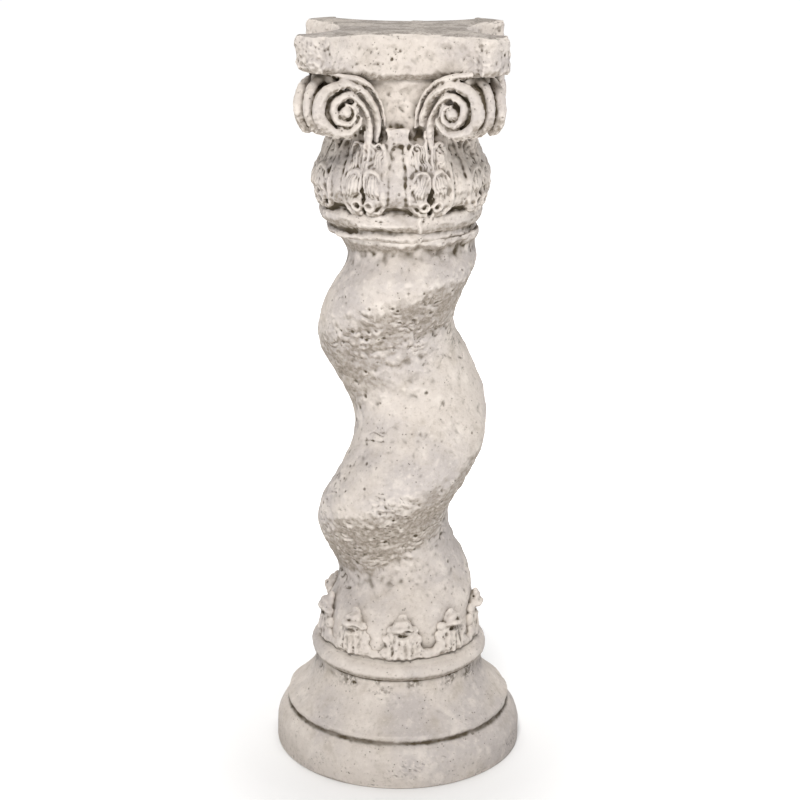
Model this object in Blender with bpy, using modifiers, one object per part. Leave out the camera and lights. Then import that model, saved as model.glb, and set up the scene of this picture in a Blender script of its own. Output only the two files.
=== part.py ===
"""Column pedestal of cast stone, made as one casting.

A round moulded base, a twisted shaft with nine leaves round its foot, and a capital of eight
leaves and four corner volutes under a slab with hollow sides. Metres, +Z up, the origin at the
middle of the underside, the front towards -Y.
"""

import math

import bmesh
import bpy
from mathutils import Matrix, Vector

# Heights of the stages, from the ground up
PLINTH_HEIGHT = 0.056
SLOPE_HEIGHT = 0.052
FILLET_HEIGHT = 0.011
COLLAR_HEIGHT = 0.021
SHAFT_HEIGHT = 0.520
NECK_BAND_HEIGHT = 0.016
NECK_RING_HEIGHT = 0.024
BELL_HEIGHT = 0.150
SLAB_THICKNESS = 0.050

# Base
PLINTH_RADIUS = 0.1555
PLINTH_FOOT_ROUNDING = 0.005
PLINTH_SIDE_HEIGHT = 0.022
SHOULDER_ROUNDING = 0.037
LEDGE_RADIUS = 0.1418
LEDGE_HEIGHT = 0.008
LEDGE_ROUNDING = 0.002
PLINTH_GROOVE = 0.003
SLOPE_TOP_RADIUS = 0.1060
SLOPE_CURVE = 1.6
FILLET_RADIUS = 0.1045
COLLAR_RADIUS = 0.1110

# Shaft
SHAFT_RADIUS = 0.0831
SHAFT_TAPER = 0.0115
TWIST_PITCH = 0.252
TWIST_OFFSET = 0.0223
TWIST_FRONT_LEVEL = 0.2835
TWIST_START_LEVEL = 0.0382
TWIST_START_LENGTH = 0.0603
TWIST_END_GAP = 0.0454
TWIST_END_LENGTH = 0.0415
SWELL = 0.0102
SWELL_LEVEL = 0.3629
SWELL_SPREAD = 0.0539
LEAN = 0.014
LEAN_OFFSET = -0.0007
FOOT_FLARE = 0.0100
FOOT_FLARE_LENGTH = 0.095
HEAD_FLARE = 0.0096
HEAD_FLARE_LENGTH = 0.020
SEAT_DEPTH = 0.008

# Leaves round the foot of the shaft
FOOT_LEAVES = 9
FOOT_LEAF_HEIGHT = 0.062
FOOT_LEAF_HALF_WIDTH = 0.030
FOOT_LEAF_TIP = 0.019
FOOT_LEAF_FIRST = math.radians(-79)

# Neck and bell of the capital
NECK_BAND_RADIUS = 0.0895
NECK_RING_RADIUS = 0.0965
BELL_FOOT_RADIUS = 0.0930
BELL_BULGE_RADIUS = 0.0985
BELL_THROAT = 0.0690
BELL_LIP = 0.0705
BELL_LEAF_WIDTH = 0.049
BELL_LEAF_RELIEF = 0.0095
BLOCK_WIDTH = 0.032
BLOCK_HEIGHT = 0.020
BLOCK_REACH = 0.0825

# Slab
SLAB_WAIST = 0.0726
SLAB_HORN = 0.1170
HORN_CUT = 0.0290
SLAB_EDGE = 0.008
SLAB_UNDERCUT = 0.010

# Volutes
VOLUTE_RADIUS = 0.0385
VOLUTE_OVERHANG = 0.005
VOLUTE_SPACING = 0.0240
VOLUTE_SPLAY = math.radians(22)
VOLUTE_TUCK = 0.003
VOLUTE_TURNS = 1.6
VOLUTE_SHRINK = 0.53
BAND_HALF_WIDTH = 0.0074
EYE_RADIUS = 0.0062
CHANNEL_DEPTH = 0.010

# Fineness of the faceted shapes
BASE_SIDES = 32
SHAFT_SIDES = 22
SHAFT_ROWS = 21
BELL_SIDES = 20
SPIRAL_POINTS = 13
SLAB_SIDE_STEPS = 6

# Levels of the stages
SLOPE_LEVEL = PLINTH_HEIGHT
FILLET_LEVEL = SLOPE_LEVEL + SLOPE_HEIGHT
COLLAR_LEVEL = FILLET_LEVEL + FILLET_HEIGHT
SHAFT_LEVEL = COLLAR_LEVEL + COLLAR_HEIGHT
NECK_LEVEL = SHAFT_LEVEL + SHAFT_HEIGHT
RING_LEVEL = NECK_LEVEL + NECK_BAND_HEIGHT
BELL_LEVEL = RING_LEVEL + NECK_RING_HEIGHT
SLAB_LEVEL = BELL_LEVEL + BELL_HEIGHT

# Place of the eye of the spiral that faces +Y on the corner between +X and +Y
CORNER_Y = SLAB_HORN + VOLUTE_OVERHANG
CORNER_X = CORNER_Y - VOLUTE_SPACING
EYE_X = CORNER_X - VOLUTE_RADIUS * math.cos(VOLUTE_SPLAY)
EYE_Y = CORNER_Y - VOLUTE_RADIUS * math.sin(VOLUTE_SPLAY)
EYE_LEVEL = SLAB_LEVEL - VOLUTE_RADIUS + VOLUTE_TUCK


def ease(value):
    """0 to 1 along an S-shaped ramp, level at both ends."""
    value = min(max(value, 0.0), 1.0)
    return value * value * (3 - 2 * value)


def arc(center, radius, start, end, steps):
    """Points (r, z) on an arc, angles in degrees from the outward direction."""
    angles = [math.radians(start + (end - start) * i / steps) for i in range(steps + 1)]
    return [
        (center[0] + radius * math.cos(a), center[1] + radius * math.sin(a)) for a in angles
    ]


def new_collection(name):
    collection = bpy.data.collections.new(name)
    bpy.context.scene.collection.children.link(collection)
    return collection


def new_object(name, data, collection):
    obj = bpy.data.objects.new(name, data)
    collection.objects.link(obj)
    return obj


def add_operand(shape, name, collection):
    """A closed shape that the casting is joined from."""
    bmesh.ops.recalc_face_normals(shape, faces=shape.faces)
    mesh = bpy.data.meshes.new(name)
    shape.to_mesh(mesh)
    shape.free()
    obj = new_object(name, mesh, collection)
    obj.hide_render = True
    obj.display_type = "WIRE"
    return obj


def skin(rings):
    """A closed shape through rings with the same number of points."""
    shape = bmesh.new()
    loops = [[shape.verts.new(point) for point in ring] for ring in rings]
    count = len(rings[0])
    for lower, upper in zip(loops, loops[1:]):
        for i in range(count):
            j = (i + 1) % count
            shape.faces.new((lower[i], lower[j], upper[j], upper[i]))
    shape.faces.new(loops[0])
    shape.faces.new(loops[-1])
    return shape


def add_tube(name, points, radii, collection):
    """A round bar along the points, made a mesh so that it can be joined."""
    curve = bpy.data.curves.new(name, "CURVE")
    curve.dimensions = "3D"
    curve.bevel_depth = max(radii)
    curve.bevel_resolution = 1
    curve.use_fill_caps = True
    spline = curve.splines.new("POLY")
    spline.points.add(len(points) - 1)
    for control, point, radius in zip(spline.points, points, radii):
        control.co = (*point, 1)
        control.radius = radius / curve.bevel_depth
    guide = new_object(name + "_guide", curve, collection)
    bpy.context.view_layer.update()
    graph = bpy.context.evaluated_depsgraph_get()
    mesh = bpy.data.meshes.new_from_object(guide.evaluated_get(graph))
    shape = bmesh.new()
    shape.from_mesh(mesh)
    bmesh.ops.remove_doubles(shape, verts=shape.verts, dist=0.00001)
    bpy.data.objects.remove(guide)
    bpy.data.meshes.remove(mesh)
    add_operand(shape, name, collection)


def base_profile():
    """The turned outline of the base, from the axis at the top down to the axis at the bottom."""
    side_top = PLINTH_SIDE_HEIGHT
    shoulder_rise = SLOPE_LEVEL - PLINTH_GROOVE - side_top
    shoulder_end = math.degrees(math.asin(min(shoulder_rise / SHOULDER_ROUNDING, 1)))
    shoulder = arc(
        (PLINTH_RADIUS - SHOULDER_ROUNDING, side_top), SHOULDER_ROUNDING, shoulder_end, 0, 3
    )
    foot = arc(
        (PLINTH_RADIUS - PLINTH_FOOT_ROUNDING, PLINTH_FOOT_ROUNDING),
        PLINTH_FOOT_ROUNDING,
        0,
        -90,
        2,
    )
    half = COLLAR_HEIGHT / 2
    collar = arc((COLLAR_RADIUS - half, COLLAR_LEVEL + half), half, 75, -75, 4)
    slope_reach = LEDGE_RADIUS - LEDGE_ROUNDING - SLOPE_TOP_RADIUS
    slope_rise = SLOPE_HEIGHT - LEDGE_HEIGHT
    slope = []
    for i in range(4):
        share = i / 4
        radius = SLOPE_TOP_RADIUS + slope_reach * share**SLOPE_CURVE
        slope.append((radius, FILLET_LEVEL - slope_rise * share))
    ledge_top = SLOPE_LEVEL + LEDGE_HEIGHT
    ledge = [
        (LEDGE_RADIUS - LEDGE_ROUNDING, ledge_top),
        (LEDGE_RADIUS, ledge_top - LEDGE_ROUNDING),
        (LEDGE_RADIUS, SLOPE_LEVEL),
    ]
    fillet = [(FILLET_RADIUS, COLLAR_LEVEL)]
    seat = SHAFT_LEVEL - 0.05 * half
    top = [(0.0, seat), (COLLAR_RADIUS - 1.2 * half, seat)]
    return [*top, *collar, *fillet, *slope, *ledge, *shoulder, *foot, (0.0, 0.0)]


def add_base(name, collection):
    """The turned base, which the rest of the casting is joined to."""
    shape = bmesh.new()
    points = [shape.verts.new((r, 0, z)) for r, z in base_profile()]
    for start, end in zip(points, points[1:]):
        shape.edges.new((start, end))
    mesh = bpy.data.meshes.new(name)
    shape.to_mesh(mesh)
    shape.free()
    obj = new_object(name, mesh, collection)
    screw = obj.modifiers.new("turn", "SCREW")
    screw.steps = BASE_SIDES
    screw.render_steps = BASE_SIDES
    screw.use_merge_vertices = True
    screw.merge_threshold = 0.00001
    return obj


def shaft_section(level):
    """Centre and radius of the shaft at a level above the collar."""
    winding = ease((level - TWIST_START_LEVEL) / TWIST_START_LENGTH) * (
        1 - ease((level - SHAFT_HEIGHT + TWIST_END_GAP) / TWIST_END_LENGTH)
    )
    turn = 2 * math.pi * (level - TWIST_FRONT_LEVEL) / TWIST_PITCH
    x = LEAN_OFFSET + LEAN * level + TWIST_OFFSET * winding * math.cos(turn)
    y = TWIST_OFFSET * winding * math.sin(turn)
    foot = min(max(1 - level / FOOT_FLARE_LENGTH, 0), 1)
    head = min(max(1 - (SHAFT_HEIGHT - level) / HEAD_FLARE_LENGTH, 0), 1)
    radius = SHAFT_RADIUS - SHAFT_TAPER * level
    radius += SWELL * math.exp(-(((level - SWELL_LEVEL) / SWELL_SPREAD) ** 2))
    radius += FOOT_FLARE * foot**1.5 + HEAD_FLARE * head**2
    return x, y, radius


def add_shaft(collection):
    """The twisted shaft: level round sections whose centres wind about the axis."""
    rings = []
    for row in range(SHAFT_ROWS + 1):
        level = (SHAFT_HEIGHT + 2 * SEAT_DEPTH) * row / SHAFT_ROWS - SEAT_DEPTH
        x, y, radius = shaft_section(min(max(level, 0), SHAFT_HEIGHT))
        ring = []
        for i in range(SHAFT_SIDES):
            turn = 2 * math.pi * i / SHAFT_SIDES
            ring.append(
                (x + radius * math.cos(turn), y + radius * math.sin(turn), SHAFT_LEVEL + level)
            )
        rings.append(ring)
    add_operand(skin(rings), "twisted_shaft", collection)


def add_foot_leaf(number, collection):
    """One upright leaf at the foot of the shaft, its tip curled outward."""
    turn = FOOT_LEAF_FIRST + 2 * math.pi * number / FOOT_LEAVES
    # Height, half width, reach of the face and reach of the back, as shares of the leaf's
    sections = [
        (-0.04, 1.00, 0.22, -0.50),
        (0.20, 0.98, 0.27, -0.50),
        (0.40, 0.70, 0.31, -0.50),
        (0.84, 0.48, 0.52, -0.60),
        (1.00, 0.32, 1.00, -0.60),
    ]
    rings = []
    for level, half_width, reach, back in sections:
        height = level * FOOT_LEAF_HEIGHT
        radius = shaft_section(max(height, 0))[2]
        half_angle = half_width * FOOT_LEAF_HALF_WIDTH / radius
        ring = []
        for share in (-1, -0.55, 0, 0.55, 1):
            out = radius + reach * FOOT_LEAF_TIP * (1 - 0.75 * share**2)
            ring.append((out, turn + share * half_angle, height))
        for share in (0.7, -0.7):
            out = radius + back * FOOT_LEAF_TIP
            ring.append((out, turn + share * half_angle, height - 0.05 * FOOT_LEAF_HEIGHT))
        rings.append(
            [(r * math.cos(angle), r * math.sin(angle), SHAFT_LEVEL + z) for r, angle, z in ring]
        )
    add_operand(skin(rings), f"foot_leaf_{number}", collection)


def bell_radius(height):
    """Radius of the bell, at the middle of a side, at a height above its foot."""
    share = height / BELL_HEIGHT
    if share < 0.15:
        return BELL_FOOT_RADIUS + (BELL_BULGE_RADIUS - BELL_FOOT_RADIUS) * ease(share / 0.15)
    narrowing = BELL_BULGE_RADIUS + (BELL_THROAT - BELL_BULGE_RADIUS) * ease((share - 0.15) / 0.6)
    return narrowing + (BELL_LIP - BELL_THROAT) * ease((share - 0.75) / 0.25)


def add_neck_and_bell(collection):
    """The neck band, the ring over it and the bell, round below and four-sided under the slab."""
    rows = [
        (SHAFT_RADIUS * 0.8, NECK_LEVEL - 0.25 * NECK_BAND_HEIGHT, 0),
        (NECK_BAND_RADIUS - 0.25 * NECK_BAND_HEIGHT, NECK_LEVEL, 0),
        (NECK_BAND_RADIUS, NECK_LEVEL + 0.3 * NECK_BAND_HEIGHT, 0),
        (NECK_BAND_RADIUS, NECK_LEVEL + 0.75 * NECK_BAND_HEIGHT, 0),
    ]
    half = NECK_RING_HEIGHT / 2
    ring_middle = (NECK_RING_RADIUS - half, RING_LEVEL + half)
    rows += [(r, z, 0) for r, z in arc(ring_middle, half, -60, 60, 3)]
    for i in range(9):
        height = BELL_HEIGHT * (i + 0.2) / 8.2
        squareness = ease((height / BELL_HEIGHT - 0.45) / 0.4)
        rows.append((bell_radius(height), BELL_LEVEL + height, squareness))
    rows.append((BELL_LIP, SLAB_LEVEL + 0.5 * SLAB_THICKNESS, 1))
    rings = []
    for radius, level, squareness in rows:
        ring = []
        for i in range(BELL_SIDES):
            turn = 2 * math.pi * i / BELL_SIDES
            off_face = (turn + math.pi / 4) % (math.pi / 2) - math.pi / 4
            reach = radius * (1 + squareness * (1 / math.cos(off_face) - 1))
            ring.append((reach * math.cos(turn), reach * math.sin(turn), level))
        rings.append(ring)
    add_operand(skin(rings), "bell", collection)


def add_bell_leaf(number, collection):
    """One leaf of the bell: two curls, two lobes over them and two leaflets, side by side."""
    turn = math.pi / 8 + number * math.pi / 4
    # Height as a share of the bell, half width and relief as shares of the leaf's
    sections = [
        (0.010, 0.42, 0.10),
        (0.050, 0.60, 0.84),
        (0.130, 0.92, 0.98),
        (0.240, 1.00, 0.92),
        (0.340, 0.88, 0.40),
        (0.400, 0.88, 0.74),
        (0.470, 0.82, 0.84),
        (0.530, 0.62, 0.86),
        (0.565, 0.36, 0.12),
    ]
    # Across the leaf: place as a share of its half width, and rise as a share of its relief
    crests = [(-1, -0.2), (-0.74, 0.88), (-0.26, 0.92), (0, 0.15)]
    crests += [(-across, rise) for across, rise in reversed(crests[:-1])]
    rings = []
    for share, width, relief in sections:
        height = share * BELL_HEIGHT
        radius = bell_radius(height)
        half_width = width * BELL_LEAF_WIDTH / 2
        ring = []
        for across, rise in crests:
            out = radius + rise * relief * BELL_LEAF_RELIEF
            ring.append(Vector((out, across * half_width, BELL_LEVEL + height)))
        for across in (0.6, -0.6):
            out = radius - BELL_LEAF_RELIEF
            ring.append(Vector((out, across * half_width, BELL_LEVEL + height)))
        rings.append([Matrix.Rotation(turn, 3, "Z") @ point for point in ring])
    add_operand(skin(rings), f"bell_leaf_{number}", collection)


def add_block(number, collection):
    """The small tablet at the middle of each side of the bell."""
    level = BELL_LEVEL + 0.567 * BELL_HEIGHT
    shape = bmesh.new()
    depth = BLOCK_REACH - 0.8 * BELL_THROAT
    place = Matrix.Translation((BLOCK_REACH - depth / 2, 0, level))
    size = Matrix.Diagonal((depth, BLOCK_WIDTH, BLOCK_HEIGHT, 1))
    turn = Matrix.Rotation(number * math.pi / 2, 4, "Z")
    bmesh.ops.create_cube(shape, size=1, matrix=turn @ place @ size)
    add_operand(shape, f"block_{number}", collection)


def slab_outline():
    """Hollow sides as arcs between horns cut off at 45 degrees."""
    half_chord = SLAB_HORN - HORN_CUT
    dip = SLAB_HORN - SLAB_WAIST
    radius = (half_chord**2 + dip**2) / (2 * dip)
    reach = math.asin(half_chord / radius)
    outline = []
    for side in range(4):
        turn = Matrix.Rotation(side * math.pi / 2, 3, "Z")
        for i in range(SLAB_SIDE_STEPS + 1):
            angle = reach * (2 * i / SLAB_SIDE_STEPS - 1)
            across = -radius * math.sin(angle)
            out = SLAB_WAIST + radius * (1 - math.cos(angle))
            outline.append(turn @ Vector((out, -across, 0)))
    return outline


def add_slab(collection):
    """The slab on top, its underside rising a little towards the horns."""
    shape = bmesh.new()
    face = shape.faces.new([shape.verts.new(point) for point in slab_outline()])
    grown = bmesh.ops.extrude_face_region(shape, geom=[face])
    upper = [item for item in grown["geom"] if isinstance(item, bmesh.types.BMVert)]
    bmesh.ops.translate(shape, verts=upper, vec=(0, 0, SLAB_THICKNESS))
    rims = [edge for edge in shape.edges if abs(edge.verts[0].co.z - edge.verts[1].co.z) < 1e-6]
    bmesh.ops.bevel(
        shape,
        geom=rims,
        offset=SLAB_EDGE,
        offset_type="OFFSET",
        segments=2,
        profile=0.5,
        affect="EDGES",
    )
    horn = math.hypot(SLAB_HORN, SLAB_HORN - HORN_CUT)
    for vert in shape.verts:
        reach = max(vert.co.xy.length - SLAB_WAIST, 0) / (horn - SLAB_WAIST)
        lift = SLAB_UNDERCUT * reach * (1 - vert.co.z / SLAB_THICKNESS)
        vert.co.z += SLAB_LEVEL + lift
    add_operand(shape, "slab", collection)


def volute_point(side, outward, upward, sink):
    """A point of a spiral face: outward and up from its eye, and sunk behind the face."""
    x = EYE_X + outward * math.cos(VOLUTE_SPLAY) + sink * math.sin(VOLUTE_SPLAY)
    y = EYE_Y + outward * math.sin(VOLUTE_SPLAY) - sink * math.cos(VOLUTE_SPLAY)
    z = EYE_LEVEL + upward
    return Vector((x, y, z)) if side > 0 else Vector((y, x, z))


def spiral_radius(turns):
    """Outer radius of the rolled band, which shrinks turn by turn from the top."""
    bulge = 1 + 0.08 * math.sin(2 * math.pi * turns)
    return VOLUTE_RADIUS * bulge * VOLUTE_SHRINK ** max(turns, -0.1)


def band_radius(turns):
    """Half width of the rolled band, which thins towards the eye."""
    return BAND_HALF_WIDTH * 0.68 ** max(turns, 0)


def add_spiral(corner, side, collection):
    """The band of one spiral face: it rises beside the block and rolls in to the eye."""
    beside_block = BLOCK_WIDTH / 2 + 1.35 * BAND_HALF_WIDTH
    on_throat = BELL_THROAT + 0.7 * BAND_HALF_WIDTH
    start = Vector((beside_block, on_throat, EYE_LEVEL - 0.62 * VOLUTE_RADIUS))
    first_turn = -0.11
    points = []
    radii = []
    for i in range(SPIRAL_POINTS + 1):
        turns = first_turn + (VOLUTE_TURNS - first_turn) * i / SPIRAL_POINTS
        half = band_radius(turns)
        reach = spiral_radius(turns) - half
        angle = 2 * math.pi * turns
        points.append(volute_point(1, reach * math.sin(angle), reach * math.cos(angle), half))
        radii.append(half)
    for reach, radius in ((0.45, 0.95), (-0.35, 1.0), (-0.9, 0.5)):
        points.append(volute_point(1, -reach * EYE_RADIUS, 0, EYE_RADIUS))
        radii.append(radius * EYE_RADIUS)
    joint = points[0]
    pull = joint - 0.8 * VOLUTE_RADIUS * (points[1] - joint).normalized()
    rise = []
    for share in (0, 0.35, 0.7):
        rise.append(start * (1 - share) ** 2 + pull * 2 * share * (1 - share) + joint * share**2)
    points = rise + points
    radii = [0.85 * BAND_HALF_WIDTH, 0.9 * BAND_HALF_WIDTH, 0.95 * BAND_HALF_WIDTH] + radii
    if side < 0:
        points = [Vector((p.y, p.x, p.z)) for p in points]
    turn = Matrix.Rotation(corner * math.pi / 2, 3, "Z")
    name = f"volute_{corner}_{'left' if side > 0 else 'right'}"
    add_tube(name, [turn @ p for p in points], radii, collection)
    stalk_foot_height = 0.40 * BELL_HEIGHT
    reach = bell_radius(stalk_foot_height) + 0.1 * BELL_LEAF_RELIEF
    lean = math.pi / 8
    foot = Vector((reach * math.sin(lean), reach * math.cos(lean), BELL_LEVEL + stalk_foot_height))
    head = volute_point(1, -0.66 * VOLUTE_RADIUS, -0.05 * VOLUTE_RADIUS, 0.8 * CHANNEL_DEPTH)
    stalk = [Vector((p.y, p.x, p.z)) if side < 0 else p for p in (foot, head)]
    radii = [0.74 * BAND_HALF_WIDTH, 0.65 * BAND_HALF_WIDTH]
    add_tube(f"{name}_stalk", [turn @ p for p in stalk], radii, collection)


def add_corner(corner, collection):
    """The body of one corner volute: its core, the bars to the bell and the middle ridge."""
    turn = Matrix.Rotation(corner * math.pi / 2, 3, "Z")
    rings = []
    for side in (1, -1):
        ring = []
        for i in range(12):
            turns = i / 12
            reach = spiral_radius(turns) - 0.35 * BAND_HALF_WIDTH
            angle = 2 * math.pi * turns
            out = reach * math.sin(angle)
            ring.append(turn @ volute_point(side, out, reach * math.cos(angle), CHANNEL_DEPTH))
        rings.append(ring)
    add_operand(skin(rings), f"volute_{corner}_core", collection)
    eye_distance = math.hypot(EYE_X, EYE_Y)
    arm_bottom = EYE_LEVEL - 0.45 * VOLUTE_RADIUS
    cap_bottom = EYE_LEVEL + 0.80 * VOLUTE_RADIUS
    top = SLAB_LEVEL + 0.3 * SLAB_THICKNESS
    bars = [
        ("arm", 0.88 * eye_distance, 2 * VOLUTE_SPACING, arm_bottom),
        ("cap", eye_distance + 0.15 * VOLUTE_RADIUS, 1.45 * VOLUTE_SPACING, cap_bottom),
    ]
    for name, length, width, bottom in bars:
        shape = bmesh.new()
        place = Matrix.Translation((length / 2, 0, (bottom + top) / 2))
        size = Matrix.Diagonal((length, width, top - bottom, 1))
        diagonal = Matrix.Rotation((corner + 0.5) * math.pi / 2, 4, "Z")
        bmesh.ops.create_cube(shape, size=1, matrix=diagonal @ place @ size)
        add_operand(shape, f"volute_{corner}_{name}", collection)
    ridge = []
    radii = []
    for i in range(7):
        turns = -0.02 + 0.52 * i / 6
        half = 0.9 * BAND_HALF_WIDTH
        reach = spiral_radius(turns) - half
        angle = 2 * math.pi * turns
        rise = reach * math.cos(angle) * (1.25 if turns < 0.25 else 1.0)
        front = volute_point(1, reach * math.sin(angle), rise, half)
        out = (front.x + front.y) / 2
        ridge.append(turn @ Vector((out, out, front.z)))
        radii.append(half)
    add_tube(f"volute_{corner}_ridge", ridge, radii, collection)


def stone_material():
    material = bpy.data.materials.new("cast_stone")
    material.use_nodes = True
    shader = material.node_tree.nodes["Principled BSDF"]
    shader.inputs["Base Color"].default_value = (0.60, 0.56, 0.50, 1)
    shader.inputs["Roughness"].default_value = 0.9
    shader.inputs["Metallic"].default_value = 0.0
    return material


def main():
    for obj in list(bpy.data.objects):
        bpy.data.objects.remove(obj)
    parts = new_collection("column_pedestal")
    carving = new_collection("carving")
    add_shaft(carving)
    for number in range(FOOT_LEAVES):
        add_foot_leaf(number, carving)
    add_neck_and_bell(carving)
    for number in range(8):
        add_bell_leaf(number, carving)
    for number in range(4):
        add_block(number, carving)
        add_corner(number, carving)
        for side in (1, -1):
            add_spiral(number, side, carving)
    add_slab(carving)
    pedestal = add_base("column_pedestal", parts)
    join = pedestal.modifiers.new("join", "BOOLEAN")
    join.operation = "UNION"
    join.operand_type = "COLLECTION"
    join.collection = carving
    join.solver = "EXACT"
    pedestal.data.materials.append(stone_material())


main()
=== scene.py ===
import itertools
import math
import random

import bmesh
import bpy
import numpy as np
from mathutils import Euler, Matrix, Vector


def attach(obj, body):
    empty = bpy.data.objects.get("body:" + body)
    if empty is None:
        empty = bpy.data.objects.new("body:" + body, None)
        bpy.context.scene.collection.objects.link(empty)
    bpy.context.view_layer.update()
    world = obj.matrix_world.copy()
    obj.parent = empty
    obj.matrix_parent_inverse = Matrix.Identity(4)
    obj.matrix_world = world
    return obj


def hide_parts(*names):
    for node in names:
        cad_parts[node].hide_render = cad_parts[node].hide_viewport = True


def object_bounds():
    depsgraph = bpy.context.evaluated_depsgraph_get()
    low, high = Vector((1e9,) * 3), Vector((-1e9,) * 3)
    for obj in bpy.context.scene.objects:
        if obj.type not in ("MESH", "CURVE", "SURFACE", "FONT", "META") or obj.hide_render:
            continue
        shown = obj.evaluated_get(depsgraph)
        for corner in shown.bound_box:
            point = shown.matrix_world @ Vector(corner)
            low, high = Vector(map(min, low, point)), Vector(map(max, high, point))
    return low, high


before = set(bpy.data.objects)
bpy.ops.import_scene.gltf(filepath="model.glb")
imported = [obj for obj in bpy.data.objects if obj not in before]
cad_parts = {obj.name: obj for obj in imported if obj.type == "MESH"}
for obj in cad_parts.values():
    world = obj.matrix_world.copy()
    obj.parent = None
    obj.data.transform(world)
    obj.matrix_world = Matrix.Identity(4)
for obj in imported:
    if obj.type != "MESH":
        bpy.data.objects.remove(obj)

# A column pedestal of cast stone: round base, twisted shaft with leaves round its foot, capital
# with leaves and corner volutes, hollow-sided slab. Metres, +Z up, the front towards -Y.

CAD_LOW, CAD_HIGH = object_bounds()
SEED = 7

# Levels from the ground up
SLOPE_LEVEL = 0.056
FILLET_LEVEL = 0.108
COLLAR_LEVEL = 0.119
SHAFT_LEVEL = 0.140
NECK_LEVEL = 0.660
RING_LEVEL = 0.676
BELL_LEVEL = 0.700
SLAB_LEVEL = 0.850
TOP_LEVEL = 0.900
SHAFT_HEIGHT = NECK_LEVEL - SHAFT_LEVEL
BELL_HEIGHT = SLAB_LEVEL - BELL_LEVEL

# The camera stands a little to the right of the capital's front
VIEW_TURN = math.radians(3)

# Base
PLINTH_RADIUS = 0.1553
PLINTH_FOOT_ROUNDING = 0.002
PLINTH_SIDE_HEIGHT = 0.022
SHOULDER_ROUNDING = 0.037
LEDGE_RADIUS = 0.1415
LEDGE_HEIGHT = 0.008
LEDGE_ROUNDING = 0.0028
PLINTH_GROOVE = 0.003
SLOPE_TOP_RADIUS = 0.1060
SLOPE_CURVE = 1.6
FILLET_RADIUS = 0.1045
COLLAR_RADIUS = 0.1108

# Shaft
SHAFT_RADIUS = 0.0828
SHAFT_TAPER = 0.0115
TWIST_PITCH = 0.252
TWIST_OFFSET = 0.0223
TWIST_FRONT_LEVEL = 0.2835
TWIST_START_LEVEL = 0.0382
TWIST_START_LENGTH = 0.0603
TWIST_END_GAP = 0.0454
TWIST_END_LENGTH = 0.0415
SWELL = 0.0102
SWELL_LEVEL = 0.3629
SWELL_SPREAD = 0.0539
LEAN = 0.014
LEAN_OFFSET = -0.0007
FOOT_FLARE = 0.0100
FOOT_FLARE_LENGTH = 0.095
HEAD_FLARE = 0.0096
HEAD_FLARE_LENGTH = 0.020

# Leaves round the foot of the shaft
FOOT_LEAVES = 9
FOOT_LEAF_FIRST = math.radians(-84)
# How much further the shaft's foot spreads behind the leaves
FOOT_SPREAD = 0.0035
# Where the leaves' sizes are measured round the shaft
FOOT_LEAF_RADIUS = 0.097
# A shallow crack low on the front
CRACK = [
    (-0.060, -0.068, 0.2065),
    (-0.046, -0.078, 0.2060),
    (-0.030, -0.086, 0.2000),
    (-0.014, -0.091, 0.1955),
    (0.000, -0.092, 0.1960),
    (0.006, -0.091, 0.2000),
]

# Neck and bell
NECK_BAND_RADIUS = 0.0893
NECK_RING_RADIUS = 0.0965
BELL_FOOT_RADIUS = 0.0930
BELL_BULGE_RADIUS = 0.0980
BELL_THROAT = 0.0690
BELL_LIP = 0.0705
BELL_LEAVES = 8
# Each leaf's two lobes: from its middle, above the bell's foot, and leaning in degrees
LOBE_ACROSS = 0.0118
LOBE_HEIGHT = 0.0300
LOBE_LEAN = 15
# The mould seam down the rings
SEAM_ACROSS = 0.026
BLOCK_WIDTH = 0.0285
BLOCK_LEVEL = 0.785
BLOCK_HEIGHT = 0.020
BLOCK_REACH = 0.0840
BLOCK_DEPTH = 0.030

# Slab
SLAB_WAIST = 0.0726
SLAB_HORN = 0.1170
HORN_CUT = 0.0290
HORN_ROUNDING = 0.013
SLAB_EDGE = 0.0085
SLAB_UNDERCUT = 0.010

# Volutes
VOLUTE_RADIUS = 0.0385
VOLUTE_SPACING = 0.0240
VOLUTE_SPLAY = math.radians(22)
CORNER_Y = SLAB_HORN + 0.005
CORNER_X = CORNER_Y - VOLUTE_SPACING
EYE_X = CORNER_X - VOLUTE_RADIUS * math.cos(VOLUTE_SPLAY) - 0.0050
EYE_Y = CORNER_Y - VOLUTE_RADIUS * math.sin(VOLUTE_SPLAY) - 0.0006
# The capital's top stands a little off the axis, and the slab turned, as they were cast
TOP_SHIFT = 0.0018
SLAB_TURN = math.radians(2.2)
SLAB_GROWTH = 1.065
# Faces, by corner and side, on which the first band has broken off above the leaves
BROKEN_FACES = {(3, 1), (0, 0), (1, 1)}
EYE_LEVEL = SLAB_LEVEL - VOLUTE_RADIUS + 0.003
EYE_RADIUS = 0.0070
BAND_DEPTH = 0.0060
CHANNEL_DEPTH = 0.0105
RIDGE_HALF = 0.0057
# The two spiral faces of a corner: as drawn, and mirrored across the diagonal
SPIRAL_SIDES = (
    Matrix.Identity(4),
    Matrix(((0, 1, 0, 0), (1, 0, 0, 0), (0, 0, 1, 0), (0, 0, 0, 1))),
)

# Turns the noise, so that its grain doesn't follow the axes
NOISE_TURN = np.array(Euler((0.6, 0.5, 0.4)).to_matrix())

# Size of the remesh of each casting, and the triangles that a piece is thinned to
SHAFT_GRAIN = 0.00185
LEAF_GRAIN = 0.00120
CAPITAL_GRAIN = 0.00136
VOLUTE_GRAIN = 0.00120
SLAB_GRAIN = 0.00135
PIECE_TRIANGLES = 180000


def ease(value):
    """0 to 1 along an S-shaped ramp, level at both ends."""
    value = np.clip(value, 0.0, 1.0)
    return value * value * (3 - 2 * value)


def near_level(height, level, spread):
    """1 at a level, fading out above and below it."""
    return np.exp(-(((height - level) / spread) ** 2))


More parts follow.
